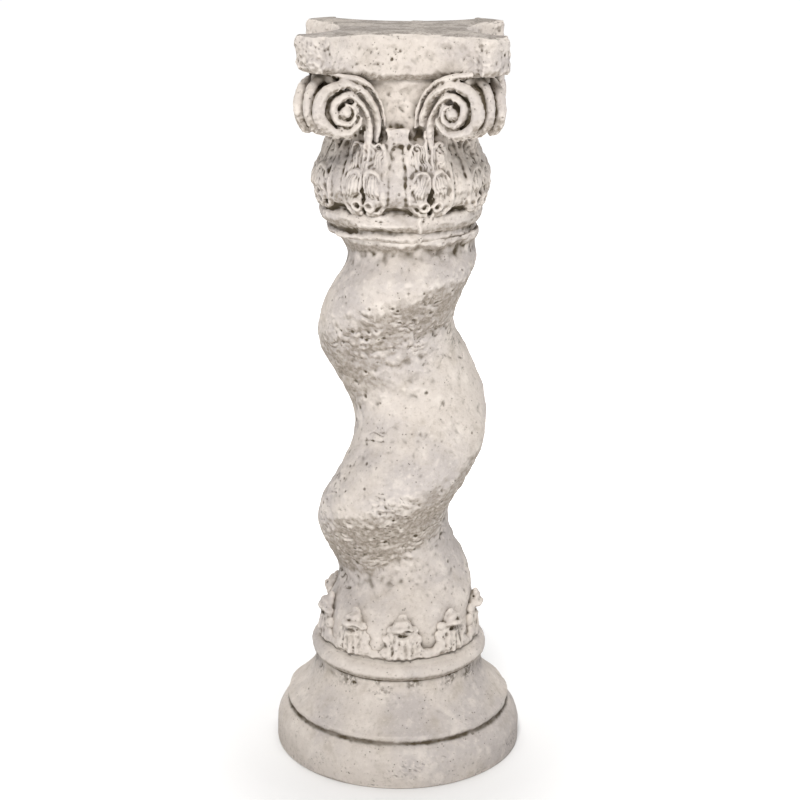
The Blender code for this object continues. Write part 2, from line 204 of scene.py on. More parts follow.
def arc(center, radius, start, end, steps):
    """Points (r, z) on an arc, angles in degrees from the outward direction."""
    angles = np.radians(np.linspace(start, end, steps + 1))
    return [(center[0] + radius * math.cos(a), center[1] + radius * math.sin(a)) for a in angles]


def flowing(stations, steps):
    """The stations joined by a smooth curve, with steps points to each stretch."""
    rows = np.array(stations, float)
    padded = np.vstack([2 * rows[0] - rows[1], rows, 2 * rows[-1] - rows[-2]])
    found = []
    for a, b, c, d in zip(padded, padded[1:], padded[2:], padded[3:]):
        for share in np.arange(steps) / steps:
            bend = (-a + 3 * b - 3 * c + d) * share + (2 * a - 5 * b + 4 * c - d)
            found.append(b + 0.5 * share * ((c - a) + share * bend))
    found.append(rows[-1])
    return found


# Stock shapes: each closed, gathered in one mesh that a remesh then casts in one


def merge_into(stock, shape, matrix=Matrix.Identity(4)):
    """Adds a copy of a shape to the stock."""
    mesh = bpy.data.meshes.new("part")
    shape.to_mesh(mesh)
    mesh.transform(matrix)
    if matrix.determinant() < 0:
        mesh.flip_normals()
    stock.from_mesh(mesh)
    bpy.data.meshes.remove(mesh)


def add_bar(stock, points, widths, depths, facings, sides=16):
    """A bar with an oval section: its width lies across the way it faces, its depth along it."""
    points = [Vector(p) for p in points]
    frames = []
    for i, point in enumerate(points):
        along = (points[min(i + 1, len(points) - 1)] - points[max(i - 1, 0)]).normalized()
        across = along.cross(Vector(facings[i])).normalized()
        out = across.cross(along)
        turn = Matrix((across * widths[i], out * depths[i], along)).transposed()
        frames.append(Matrix.Translation(point) @ turn.to_4x4())
    bar = bmesh.new()
    bmesh.ops.create_circle(bar, cap_ends=False, segments=sides, radius=1, matrix=frames[0])
    rim = list(bar.edges)
    ends = [list(rim)]
    for last, now in zip(frames, frames[1:]):
        grown = bmesh.ops.extrude_edge_only(bar, edges=rim)["geom"]
        ring = [item for item in grown if isinstance(item, bmesh.types.BMVert)]
        rim = [e for e in grown if isinstance(e, bmesh.types.BMEdge)]
        rim = [e for e in rim if e.verts[0] in ring and e.verts[1] in ring]
        bmesh.ops.transform(bar, matrix=now @ last.inverted(), verts=ring)
    ends.append(rim)
    for end in ends:
        bmesh.ops.edgeloop_fill(bar, edges=end)
    bmesh.ops.recalc_face_normals(bar, faces=bar.faces)
    merge_into(stock, bar)
    bar.free()


def add_ball(stock, matrix):
    """A ball of radius 1, which the matrix sizes and places."""
    ball = bmesh.new()
    bmesh.ops.create_uvsphere(ball, u_segments=24, v_segments=14, radius=1)
    merge_into(stock, ball, matrix)
    ball.free()


def round_off(shape, edges, offset, segments):
    """Rounds edges by a bevel."""
    bmesh.ops.bevel(
        shape,
        geom=edges,
        offset=offset,
        offset_type="OFFSET",
        segments=segments,
        profile=0.5,
        affect="EDGES",
        material=-1,
    )


def add_box(stock, matrix, size, edge):
    """A box with rounded edges."""
    box = bmesh.new()
    bmesh.ops.create_cube(box, size=1, matrix=Matrix.Diagonal((*size, 1)))
    round_off(box, box.edges[:], edge, 3)
    merge_into(stock, box, matrix)
    box.free()


def add_turned(stock, profile, steps):
    """A profile (r, z) spun about the axis, from the axis to the axis."""
    turned = bmesh.new()
    points = [turned.verts.new((r, 0, z)) for r, z in profile]
    edges = [turned.edges.new(pair) for pair in zip(points, points[1:])]
    bmesh.ops.spin(
        turned,
        geom=points + edges,
        axis=(0, 0, 1),
        cent=(0, 0, 0),
        dvec=(0, 0, 0),
        angle=2 * math.pi,
        steps=steps,
        use_merge=True,
    )
    bmesh.ops.remove_doubles(turned, verts=turned.verts, dist=0.00001)
    bmesh.ops.recalc_face_normals(turned, faces=turned.faces)
    merge_into(stock, turned)
    turned.free()


def new_object(name, data):
    """An object in the scene that holds the data."""
    made = bpy.data.objects.new(name, data)
    bpy.context.scene.collection.objects.link(made)
    return made


def mesh_object(name, stock):
    """The stock as an object in the scene."""
    mesh = bpy.data.meshes.new(name)
    stock.to_mesh(mesh)
    stock.free()
    return new_object(name, mesh)


def apply_modifier(piece, kind, settings):
    """Makes a modifier's result the piece's mesh."""
    mesh = piece.data
    modifier = piece.modifiers.new(kind.lower(), kind)
    for name, value in settings.items():
        setattr(modifier, name, value)
    graph = bpy.context.evaluated_depsgraph_get()
    piece.data = bpy.data.meshes.new_from_object(piece.evaluated_get(graph))
    piece.modifiers.clear()
    bpy.data.meshes.remove(mesh)


def cast(name, stock, grain):
    """The stock as one object, joined by a remesh."""
    piece = mesh_object(name, stock)
    apply_modifier(piece, "REMESH", {"mode": "VOXEL", "voxel_size": grain})
    return piece


def thin_out(piece):
    """Collapses the flattest parts of a piece until it keeps within PIECE_TRIANGLES."""
    piece.data.calc_loop_triangles()
    count = len(piece.data.loop_triangles)
    if count > PIECE_TRIANGLES:
        apply_modifier(piece, "DECIMATE", {"ratio": PIECE_TRIANGLES / count})
        piece.data.shade_smooth()


# Surface work: a mesh's points as arrays, moved along their normals


def read_points(mesh):
    found = np.empty(len(mesh.vertices) * 3)
    mesh.vertices.foreach_get("co", found)
    return found.reshape(-1, 3)


def read_normals(mesh):
    found = np.empty(len(mesh.vertices) * 3)
    mesh.vertices.foreach_get("normal", found)
    return found.reshape(-1, 3)


def write_points(mesh, points):
    mesh.vertices.foreach_set("co", np.ascontiguousarray(points, np.float32).ravel())
    mesh.update()


def spread(mesh, values, rounds):
    """The values smoothed over the surface, each round with the points next door."""
    pairs = np.empty(len(mesh.edges) * 2, np.int32)
    mesh.edges.foreach_get("vertices", pairs)
    pairs = pairs.reshape(-1, 2)
    near, far = np.concatenate([pairs, pairs[:, ::-1]]).T
    count = len(values)
    neighbours = np.maximum(np.bincount(near, minlength=count), 1)
    values = values.reshape(count, -1)
    for _ in range(rounds):
        sums = [np.bincount(near, weights=column[far], minlength=count) for column in values.T]
        values = 0.5 * values + 0.5 * np.stack(sums, 1) / neighbours[:, None]
    return values


def hashed(cells, seed):
    """A number from -1 to 1 for each cell of a grid, another set for each seed."""
    mixed = cells[:, 0] * 73856093 ^ cells[:, 1] * 19349663 ^ cells[:, 2] * 83492791
    mixed = (mixed ^ ((SEED + seed) * 40503 + 977)) & 0xFFFFFFFF
    for shift, factor in ((16, 0x7FEB352D), (15, 0x2C1B3C6D)):
        mixed = ((mixed ^ (mixed >> shift)) * factor) & 0xFFFFFFFF
    mixed ^= mixed >> 16
    return (mixed & 0xFFFFFF) / 0x7FFFFF - 1


def waves(points, size, seed):
    """Smooth noise from about -1 to 1, its swells size apart; size may differ by axis."""
    if np.isscalar(size):
        points = points @ NOISE_TURN
    cells = points / size
    home = np.floor(cells).astype(np.int64)
    share = ease(cells - home)
    total = np.zeros(len(points))
    for corner in itertools.product((0, 1), repeat=3):
        weight = np.prod(np.where(corner, share, 1 - share), axis=1)
        total += weight * hashed(home + corner, seed)
    return 1.6 * total


def pits(points, spacing, radius, share, seed):
    """Depth from 0 to 1 of round pits, one to a cell in a share of the cells."""
    cells = points / spacing
    home = np.floor(cells - 0.5).astype(np.int64)
    depth = np.zeros(len(points))
    for corner in itertools.product((0, 1), repeat=3):
        cell = home + corner
        middle = cell + 0.5 + 0.4 * np.stack([hashed(cell, seed + k) for k in range(3)], 1)
        size = radius * (0.75 + 0.25 * hashed(cell, seed + 3))
        gap = np.linalg.norm(cells - middle, axis=1) * spacing / size
        present = hashed(cell, seed + 4) < 2 * share - 1
        depth = np.maximum(depth, present * np.clip(1 - gap * gap, 0, 1))
    return depth


def near_line(points, line, width):
    """1 on a line through the points given, falling to 0 at its width."""
    nearest = np.full(len(points), np.inf)
    line = np.array(line, float)
    for start, end in zip(line, line[1:]):
        step = end - start
        share = np.clip((points - start) @ step / (step @ step), 0, 1)
        gap = np.linalg.norm(points - start - share[:, None] * step, axis=1)
        nearest = np.minimum(nearest, gap)
    return np.clip(1 - nearest / width, 0, 1)


def carve(piece, offset, softening=0):
    """Moves each point along its normal, after rounds of softening, inside the CAD box."""
    mesh = piece.data
    if softening:
        write_points(mesh, spread(mesh, read_points(mesh), softening))
    points = read_points(mesh)
    moved = points + read_normals(mesh) * offset(points, read_normals(mesh))[:, None]
    write_points(mesh, np.clip(moved, np.array(CAD_LOW), np.array(CAD_HIGH)))
    mesh.shade_smooth()


# Base


def base_profile():
    """The turned outline of the base, from the axis at the top down to the axis at the bottom."""
    side_top = PLINTH_SIDE_HEIGHT
    shoulder_rise = SLOPE_LEVEL - PLINTH_GROOVE - side_top
    shoulder_end = math.degrees(math.asin(shoulder_rise / SHOULDER_ROUNDING))
    shoulder = arc(
        (PLINTH_RADIUS - SHOULDER_ROUNDING, side_top), SHOULDER_ROUNDING, shoulder_end, 0, 18
    )
    side = [(PLINTH_RADIUS, side_top * share) for share in np.linspace(0.93, 0.15, 10)]
    foot_middle = (PLINTH_RADIUS - PLINTH_FOOT_ROUNDING, PLINTH_FOOT_ROUNDING)
    foot = arc(foot_middle, PLINTH_FOOT_ROUNDING, 0, -90, 7)
    half = (SHAFT_LEVEL - COLLAR_LEVEL) / 2
    collar = arc((COLLAR_RADIUS - half, COLLAR_LEVEL + half), half, 72, -75, 22)
    fillet = [(FILLET_RADIUS, z) for z in np.linspace(COLLAR_LEVEL, FILLET_LEVEL + 0.002, 6)]
    reach = LEDGE_RADIUS - LEDGE_ROUNDING - SLOPE_TOP_RADIUS
    rise = FILLET_LEVEL - SLOPE_LEVEL - LEDGE_HEIGHT
    slope = []
    for share in np.linspace(0, 0.97, 30):
        radius = SLOPE_TOP_RADIUS + reach * share**SLOPE_CURVE
        slope.append((radius, FILLET_LEVEL - rise * share))
    ledge_middle = (LEDGE_RADIUS - LEDGE_ROUNDING, SLOPE_LEVEL + LEDGE_HEIGHT - LEDGE_ROUNDING)
    ledge = arc(ledge_middle, LEDGE_ROUNDING, 80, 0, 6)
    ledge += [(LEDGE_RADIUS, z) for z in np.linspace(SLOPE_LEVEL + 0.0035, SLOPE_LEVEL, 4)]
    groove = [(LEDGE_RADIUS - 0.003, SLOPE_LEVEL - 0.0012)]
    top = [(r, 0.1470) for r in (0, 0.03, 0.06, 0.085, 0.0940)]
    top += [(0.0965, 0.1462), (0.0990, 0.1440), (0.1008, 0.1416)]
    bottom = [(r, 0) for r in (0.13, 0.1, 0.07, 0.04, 0)]
    return [*top, *collar, *fillet, *slope, *ledge, *groove, *shoulder, *side, *foot, *bottom]


def base_surface(points, normals):
    """Soft unevenness, a few chips on the ledges and rough patches low on the drum."""
    height = points[:, 2]
    offset = 0.0009 * waves(points, 0.050, 0) + 0.00035 * waves(points, 0.018, 1)
    offset += 0.00018 * waves(points, 0.005, 2)
    patches = ease(waves(points, np.array([0.03, 0.03, 0.02]), 3) * 1.4 - 0.2)
    low = ease((0.048 - height) / 0.02)
    offset -= 0.0007 * patches * low * np.abs(waves(points, 0.0035, 4))
    offset -= 0.0010 * pits(points, 0.012, 0.0024, 0.10, 5)
    # Bits have come away along the ledge and under the collar
    edges = near_level(height, 0.058, 0.005) + near_level(height, 0.113, 0.005)
    offset -= 0.0008 * edges * ease(waves(points, 0.020, 9))
    offset -= 0.0005
    return offset * ease(height / 0.004)


def make_base():
    stock = bmesh.new()
    add_turned(stock, base_profile(), 420)
    base = mesh_object("turned_base", stock)
    carve(base, base_surface, softening=7)
    return base


# Shaft and the leaves at its foot


def shaft_section(level):
    """Centre and radius of the shaft at a level above the collar."""
    winding = ease((level - TWIST_START_LEVEL) / TWIST_START_LENGTH) * (
        1 - ease((level - SHAFT_HEIGHT + TWIST_END_GAP) / TWIST_END_LENGTH)
    )
    turn = 2 * math.pi * (level - TWIST_FRONT_LEVEL) / TWIST_PITCH
    x = LEAN_OFFSET + LEAN * level + TWIST_OFFSET * winding * np.cos(turn)
    y = TWIST_OFFSET * winding * np.sin(turn)
    foot = np.clip(1 - level / FOOT_FLARE_LENGTH, 0, 1)
    head = np.clip(1 - (SHAFT_HEIGHT - level) / HEAD_FLARE_LENGTH, 0, 1)
    radius = SHAFT_RADIUS - SHAFT_TAPER * level
    radius = radius + SWELL * near_level(level, SWELL_LEVEL, SWELL_SPREAD)
    return x, y, radius + FOOT_FLARE * foot**1.5 + HEAD_FLARE * head**2


def directions(angle):
    """The ways outwards and sideways at an angle about the axis."""
    return (
        Vector((math.cos(angle), math.sin(angle), 0)),
        Vector((-math.sin(angle), math.cos(angle), 0)),
    )


def foot_frame(turn, across, height, out):
    """A place on the foot of the shaft: X across, Y up, Z outwards."""
    x, y, radius = shaft_section(max(height, 0))
    radial, side = directions(turn + across / radius)
    axes = Matrix((side, Vector((0, 0, 1)), radial)).transposed().to_4x4()
    reach = radius + x * radial.x + y * radial.y + FOOT_SPREAD + out
    return Matrix.Translation(radial * reach + Vector((0, 0, SHAFT_LEVEL + height))) @ axes


def add_foot_bar(stock, turn, stations):
    """A rib or lip of a foot leaf: (across, height, out, half width, half depth) each."""
    rows = flowing(stations, 4)
    points = [foot_frame(turn, *row[:3]).translation for row in rows]
    facing = Vector((math.cos(turn), math.sin(turn), 0.35))
    widths = [row[3] for row in rows]
    depths = [row[4] for row in rows]
    add_bar(stock, points, widths, depths, [facing] * len(rows))


def add_foot_ball(stock, turn, place, radii, lean, nod=0.0):
    """An oval swelling on a foot leaf, leaning across and nodding outwards, in degrees."""
    spin = Matrix.Rotation(math.radians(lean), 4, "Z") @ Matrix.Rotation(math.radians(nod), 4, "X")
    add_ball(stock, foot_frame(turn, *place) @ spin @ Matrix.Diagonal((*radii, 1)))


def add_foot_leaf(stock, turn, draw):
    """One worn leaf: fluted body, lobes down its edges and a tip that hangs over like a hood."""
    size = draw.uniform(1.04, 1.14)
    droop = draw.uniform(0.85, 1.15)
    skew = draw.uniform(-0.0015, 0.0015)
    bodies = [
        (0.0150, -0.0005, 0.0215, 0.0120, 0.0078),
        (0.0290, 0.0005, 0.0165, 0.0150, 0.0078),
        (0.0440, 0.0010, 0.0115, 0.0120, 0.0070),
    ]
    for height, out, wide, tall, deep in bodies:
        add_foot_ball(stock, turn, (0, size * height, out), (wide, tall, deep), 0)
    lobes = [
        (0.0195, 0.0125, 0.0012, 0.0075, 0.0088, 0.0066, 18),
        (0.0170, 0.0265, 0.0014, 0.0072, 0.0082, 0.0064, 26),
        (0.0125, 0.0385, 0.0024, 0.0062, 0.0074, 0.0058, 30),
    ]
    for side in (-1, 1):
        for across, height, out, wide, tall, deep, lean in lobes:
            place = (side * across, size * height, out)
            lean = -side * lean * draw.uniform(0.7, 1.2)
            deep *= draw.uniform(0.75, 1.1)
            add_foot_ball(stock, turn, place, (wide, tall, deep), lean)
        ribs = [
            [(0.0085, 0.0065, 0.0056), (0.0070, 0.0200, 0.0066), (0.0050, 0.0350, 0.0068)],
            [(0.0160, 0.0080, 0.0040), (0.0140, 0.0180, 0.0052), (0.0168, 0.0275, 0.0042)],
        ]
        for rib in ribs:
            rows = [(side * a, size * height, out, 0.0026, 0.0022) for a, height, out in rib]
            add_foot_bar(stock, turn, rows)
    midrib = [(0, 0.0060, 0.0062), (0, 0.0200, 0.0074)]
    midrib += [(skew, 0.0340, 0.0082), (skew, 0.042, 0.010)]
    rows = [(a, size * height, out, 0.0032, 0.0026) for a, height, out in midrib]
    add_foot_bar(stock, turn, rows)
    add_foot_ball(stock, turn, (skew, size * 0.0460, 0.0060), (0.0120, 0.0090, 0.0052), 0, 32)
    add_foot_ball(stock, turn, (skew, size * 0.0545, 0.0040), (0.0058, 0.0052, 0.0036), 0, 15)
    lip = [(-0.0130, 0.0390, 0.0040), (-0.0080, 0.0425, 0.0110), (0, 0.0435, 0.0155)]
    lip += [(0.0080, 0.0425, 0.0110), (0.0130, 0.0390, 0.0040)]
    rows = [(a + skew, size * height, out * droop, 0.0030, 0.0026) for a, height, out in lip]
    add_foot_bar(stock, turn, rows)


def foot_leaf_turns():
    """The angles at which the foot leaves stand."""
    draw = random.Random(SEED + 5)
    evenly = np.arange(FOOT_LEAVES) * 2 * math.pi / FOOT_LEAVES
    return [FOOT_LEAF_FIRST + angle + draw.uniform(-0.03, 0.03) for angle in evenly]


def foot_surface(points, normals):
    """Eyes between the lobes, a hollow under each hanging tip, unevenness and pits."""
    angle = np.arctan2(points[:, 1], points[:, 0])
    height = points[:, 2] - SHAFT_LEVEL
    radius = np.hypot(points[:, 0], points[:, 1])
    outer = ease((radius - 0.093) / 0.004)
    eyes = [(0.0122, 0.0185, 0.0022, 0.0040), (0.0098, 0.0315, 0.0020, 0.0036)]
    offset = np.zeros(len(points))
    for turn in foot_leaf_turns():
        across = ((angle - turn + math.pi) % (2 * math.pi) - math.pi) * FOOT_LEAF_RADIUS
        for side in (-1, 1):
            for place, level, wide, tall in eyes:
                gap = np.hypot((across - side * place) / wide, (height - level) / tall)
                offset -= 0.0012 * outer * np.clip(1.6 - gap, 0, 1)
        under = np.hypot(across / 0.0100, (height - 0.0370) / 0.0034)
        offset -= 0.0036 * outer * np.clip(1.3 - under, 0, 1)
    offset += 0.0010 * waves(points, 0.010, 48) + 0.0006 * waves(points, 0.0052, 49)
    offset -= 0.0010 * pits(points, 0.0075, 0.0024, 0.40, 42)
    return offset


def make_foot_leaves():
    stock = bmesh.new()
    # A low rim round the collar, from which the leaves rise
    rim = [(0.0880, 0.1455), (0.0990, 0.1455), (0.1000, 0.1475), (0.0995, 0.1505)]
    rim += [(0.0970, 0.1545), (0.0880, 0.1570), (0.0880, 0.1455)]
    add_turned(stock, rim, 90)
    draw = random.Random(SEED)
    for turn in foot_leaf_turns():
        add_foot_leaf(stock, turn, draw)
    leaves = cast("foot_leaves", stock, LEAF_GRAIN)
    carve(leaves, foot_surface, softening=7)
    return leaves


def shaft_surface(points, normals):
    """Unevenness, wrinkles across the shaft, pits in winding bands and a shallow crack."""
    height = points[:, 2]
    offset = 0.0013 * waves(points, 0.034, 20) + 0.0008 * waves(points, 0.013, 21)
    offset += 0.00040 * waves(points, 0.0055, 22)
    x, y, _ = shaft_section(height - SHAFT_LEVEL)
    outward = points[:, :2] - np.stack([x, y], 1)
    angle = np.arctan2(outward[:, 1], outward[:, 0])
    # Undersides of the winding ridge are rougher than its crests
    under = ease(0.15 - 1.6 * normals[:, 2])
    zones = near_level(height, 0.535, 0.060) + near_level(height, 0.300, 0.055)
    rough = ease(waves(points, 0.040, 23) * 0.8 + 0.15 + 0.5 * zones + 0.5 * under)
    bent = points + 0.004 * np.stack([waves(points, 0.012, 50 + k) for k in range(3)], 1)
    wrinkle = 1 - np.abs(waves(bent, np.array([0.016, 0.016, 0.0075]), 24)) * 1.7
    fine = 1 - np.abs(waves(bent, np.array([0.008, 0.008, 0.0048]), 25)) * 1.7
    shaft_only = ease((height - 0.20) / 0.02)
    folds = 0.0009 * np.clip(wrinkle, 0, 1) + 0.0006 * np.clip(fine, 0, 1)
    folds *= ease(0.40 + waves(points, 0.018, 27) + 0.35 * zones)
    offset -= shaft_only * rough * folds
    offset += 0.0002 * shaft_only * rough * waves(points, 0.0045, 28)
    band = np.abs(np.sin(0.5 * (angle - 2 * math.pi * height / TWIST_PITCH + 1.0)))
    pitted = ease(1.9 * band - 0.6) * rough
    offset -= 0.0019 * pits(points, 0.0100, 0.0032, 0.50, 30) * pitted * shaft_only
    offset -= 0.0014 * pits(points, 0.016, 0.0042, 0.26, 36)
    offset -= 0.0015 * near_line(points, CRACK, 0.0022)
    # The foot spreads a little more behind the leaves
    offset += FOOT_SPREAD * ease((0.225 - height) / 0.040)
    return offset


def make_shaft():
    stock = bmesh.new()
    levels = np.linspace(-0.010, SHAFT_HEIGHT + 0.008, 150)
    upright = [(1, SHAFT_LEVEL + level) for level in levels]
    add_turned(stock, [(0, upright[0][1]), *upright, (0, upright[-1][1])], 112)
    for vert in stock.verts:
        x, y, radius = shaft_section(min(max(vert.co.z - SHAFT_LEVEL, 0), SHAFT_HEIGHT))
        vert.co.xy = vert.co.xy * float(radius) + Vector((x, y))
    shaft = cast("twisted_shaft", stock, SHAFT_GRAIN)
    carve(shaft, shaft_surface, softening=2)
    return shaft


# Bell of the capital, with the neck rings below it


def bell_radius(height):
    """Radius of the bell, at the middle of a side, at a height above its foot."""
    share = height / BELL_HEIGHT
    rising = BELL_FOOT_RADIUS + (BELL_BULGE_RADIUS - BELL_FOOT_RADIUS) * ease(share / 0.15)
    narrowing = BELL_BULGE_RADIUS + (BELL_THROAT - BELL_BULGE_RADIUS) * ease((share - 0.15) / 0.6)
    lip = (BELL_LIP - BELL_THROAT) * ease((share - 0.75) / 0.25)
    return float(rising if share < 0.15 else narrowing + lip)


def bell_frame(turn, across, height, relief):
    """A place on the bell: X across, Y up the surface, Z outwards."""
    slope = (bell_radius(height + 0.001) - bell_radius(height - 0.001)) / 0.002
    radius = bell_radius(height)
    radial, side = directions(turn + across / radius)
    up = (radial * slope + Vector((0, 0, 1))).normalized()
    out = side.cross(up)
    place = radial * radius + Vector((0, 0, BELL_LEVEL + height)) + out * relief
    return Matrix.Translation(place) @ Matrix((side, up, out)).transposed().to_4x4()


def add_bell_bar(stock, turn, stations, steps=5):
    """A rib on the bell: (across, height, relief, half width, half depth) each."""
    rows = flowing(stations, steps)
    frames = [bell_frame(turn, *row[:3]) for row in rows]
    facings = [place.to_3x3() @ Vector((0, 0, 1)) for place in frames]
    points = [place.translation for place in frames]
    add_bar(stock, points, [r[3] for r in rows], [r[4] for r in rows], facings, sides=12)


def add_bell_ball(stock, turn, place, radii, lean):
    """An oval swelling on the bell, leaning by an angle in degrees."""
    spin = Matrix.Rotation(math.radians(lean), 4, "Z")
    add_ball(stock, bell_frame(turn, *place) @ spin @ Matrix.Diagonal((*radii, 1)))


def add_oval_rib(stock, turn, middle, radii, lean, angles, relief, thick, deep, steps):
    """A rib along an oval; relief and thick are (at the sides, gained towards the top)."""
    spin = Matrix.Rotation(math.radians(lean), 2)
    rows = []
    for angle in np.radians(angles):
        upper = max(math.sin(angle), 0)
        reach = spin @ Vector((radii[0] * math.cos(angle), radii[1] * math.sin(angle)))
        place = (middle[0] + reach.x, middle[1] + reach.y, relief[0] + relief[1] * upper)
        rows.append((*place, thick[0] + thick[1] * upper, deep))
    add_bell_bar(stock, turn, rows, steps)


def add_bell_leaf(stock, turn, draw):
    """One leaf: border, two ridged lobes with brows, two curls below, two leaflets above."""
    for side in (-1, 1):
        wobble = draw.uniform(0.93, 1.07)
        lean = side * LOBE_LEAN * wobble
        bodies = [
            ((0.0135, 0.0300, -0.0004), (0.0148, 0.0240, 0.0062), 0.3),
            ((0.0135, 0.0560, -0.0006), (0.0118, 0.0240, 0.0056), 0.0),
            ((0.0130, 0.0780, -0.0006), (0.0115, 0.0180, 0.0046), 0.0),
        ]
        for (across, *rest), radii, share in bodies:
            add_bell_ball(stock, turn, (side * across, *rest), radii, lean * share)
        border = [
            (0.0030, -0.0008, 0.0012, 0.0034, 0.0044),
            (0.0165, 0.0012, 0.0018, 0.0038, 0.0050),
            (0.0238, 0.0110, 0.0022, 0.0038, 0.0054),
            (0.0256, 0.0260, 0.0022, 0.0038, 0.0054),
            (0.0252, 0.0460, 0.0018, 0.0034, 0.0048),
            (0.0244, 0.0640, 0.0018, 0.0032, 0.0044),
            (0.0235, 0.0800, 0.0022, 0.0028, 0.0040),
        ]
        rows = [(side * a * wobble, h, r * draw.uniform(0.7, 1.3), *w) for a, h, r, *w in border]
        add_bell_bar(stock, turn, rows)
        lobe = (side * LOBE_ACROSS, LOBE_HEIGHT, 0.0022)
        heart = (side * 0.0074, 0.0098, 0.0022)
        leaflet = (side * 0.0134, 0.0580, 0.0024)
        tilt = side * draw.uniform(2, 12)
        add_bell_ball(stock, turn, lobe, (0.0098, 0.0142, 0.0084), lean)
        add_bell_ball(stock, turn, heart, (0.0046, 0.0050, 0.0036), 0)
        add_bell_ball(stock, turn, leaflet, (0.0066, 0.0160, 0.0050), tilt)
        ribs = [
            (lobe, (0.0106, 0.015), lean, (-20, 200, 8), (0.004, 0.0022), (0.0018, 0.0014), 0.004, 3),
            (heart, (0.005, 0.0054), 0, (0, 360, 9), (0.0056, 0), (0.0023, 0), 0.004, 2),
            (leaflet, (0.008, 0.0168), tilt, (-60, 240, 11), (0.0026, 0.005), (0.0023, 0), 0.0036, 3),
        ]
        for middle, radii, angle, span, *rest in ribs:
            add_oval_rib(stock, turn, middle, radii, angle, np.linspace(*span), *rest)
        stalk = [
            (0.0020, 0.0400, 0.0036, 0.0020, 0.0036),
            (0.0028, 0.0560, 0.0056, 0.0022, 0.0038),
            (0.0032, 0.0720, 0.0090, 0.0022, 0.0036),
            (0.0036, 0.0880, 0.0140, 0.0020, 0.0034),
        ]
        add_bell_bar(stock, turn, [(side * a, *rest) for a, *rest in stalk])


def add_trunk(stock, turn):
    """The smooth band between two leaves, which widens downwards."""
    stations = [
        (0, 0.0060, 0.0000, 0.0180, 0.0038),
        (0, 0.0160, 0.0004, 0.0155, 0.0044),
        (0, 0.0320, 0.0004, 0.0130, 0.0044),
        (0, 0.0520, 0.0002, 0.0105, 0.0044),
        (0, 0.0680, -0.0010, 0.0090, 0.0036),
        (0, 0.0780, -0.0045, 0.0080, 0.0030),
    ]
    add_bell_bar(stock, turn, stations)


def capital_surface(points, normals):
    """Fine upright ridges on the leaves, unevenness, pits and the mould seam of the rings."""
    height = points[:, 2]
    angle = np.arctan2(points[:, 1], points[:, 0]) + math.pi / 2
    step = 2 * math.pi / BELL_LEAVES
    across_trunk = ((angle / step + 0.5) % 1 - 0.5) * step * BELL_BULGE_RADIUS
    offset = 0.0009 * waves(points, 0.022, 60) + 0.0006 * waves(points, 0.009, 61)
    offset += 0.0004 * waves(points, 0.0045, 62)
    # Each lobe's ridges follow its lean
    radius = np.hypot(points[:, 0], points[:, 1])
    from_leaf = ((angle / step) % 1 - 0.5) * step * radius
    above_lobe = height - BELL_LEVEL - LOBE_HEIGHT
    drift = np.sign(from_leaf) * above_lobe * math.tan(math.radians(LOBE_LEAN))
    from_lobe = np.abs(from_leaf + drift) - LOBE_ACROSS
    on_lobe = ease((0.0100 - np.abs(from_lobe)) / 0.003)
    on_lobe = on_lobe * ease((height - 0.714) / 0.005) * ease((0.744 - height) / 0.004)
    sway = 0.55 * waves(points, 0.009, 66)
    offset += 0.0004 * on_lobe * np.cos(2 * math.pi * (from_lobe / 0.0042 + sway))
    upper = ease((height - 0.748) / 0.004) * ease((0.780 - height) / 0.006)
    upper = upper * ease((0.0215 - np.abs(from_leaf)) / 0.003)
    offset += 0.0004 * upper * np.cos(2 * math.pi * (from_leaf / 0.0042 + 1.5 * sway))
    # A cleft between the lobes, hollows beside each block, an arch at the foot of each trunk
    proud = ease((radius - 0.0935) / 0.003)
    cleft = np.hypot(from_leaf / 0.0020, (height - 0.7270) / 0.0150)
    offset -= 0.0050 * proud * np.clip(1.2 - cleft, 0, 1)
    beside = np.minimum(np.abs(points[:, 0]), np.abs(points[:, 1]))
    for place, wide, deep in ((0.0225, 0.0085, 0.0090), (0.0400, 0.0060, 0.0045)):
        hollow = np.hypot((beside - place) / wide, (height - 0.7860) / 0.0085)
        offset -= deep * np.clip(1.3 - hollow, 0, 1)
    arch = np.hypot(across_trunk / 0.0115, (height - 0.7005) / 0.0062)
    offset -= 0.0024 * np.clip(1.3 - arch, 0, 1) * (height > 0.7)
    streaks = waves(points, np.array([0.0045, 0.0045, 0.020]), 63)
    leafy = ease((height - 0.704) / 0.004) * ease((0.800 - height) / 0.010)
    offset -= 0.0008 * leafy * np.clip(streaks, 0, 1)
    offset -= 0.0013 * pits(points, 0.0080, 0.0024, 0.32, 64)
    offset -= 0.0010 * pits(points, 0.0130, 0.0034, 0.22, 70)
    rings = ease((0.702 - height) / 0.003)
    offset += 0.0011 * rings * waves(points, np.array([0.03, 0.03, 0.006]), 76)
    seam_x = SEAM_ACROSS + 0.0008 * np.sin(height * 500)
    on_seam = np.clip(1 - np.abs(points[:, 0] - seam_x) / 0.0035, 0, 1)
    offset += 0.0013 * rings * on_seam * (points[:, 1] < 0)
    return offset


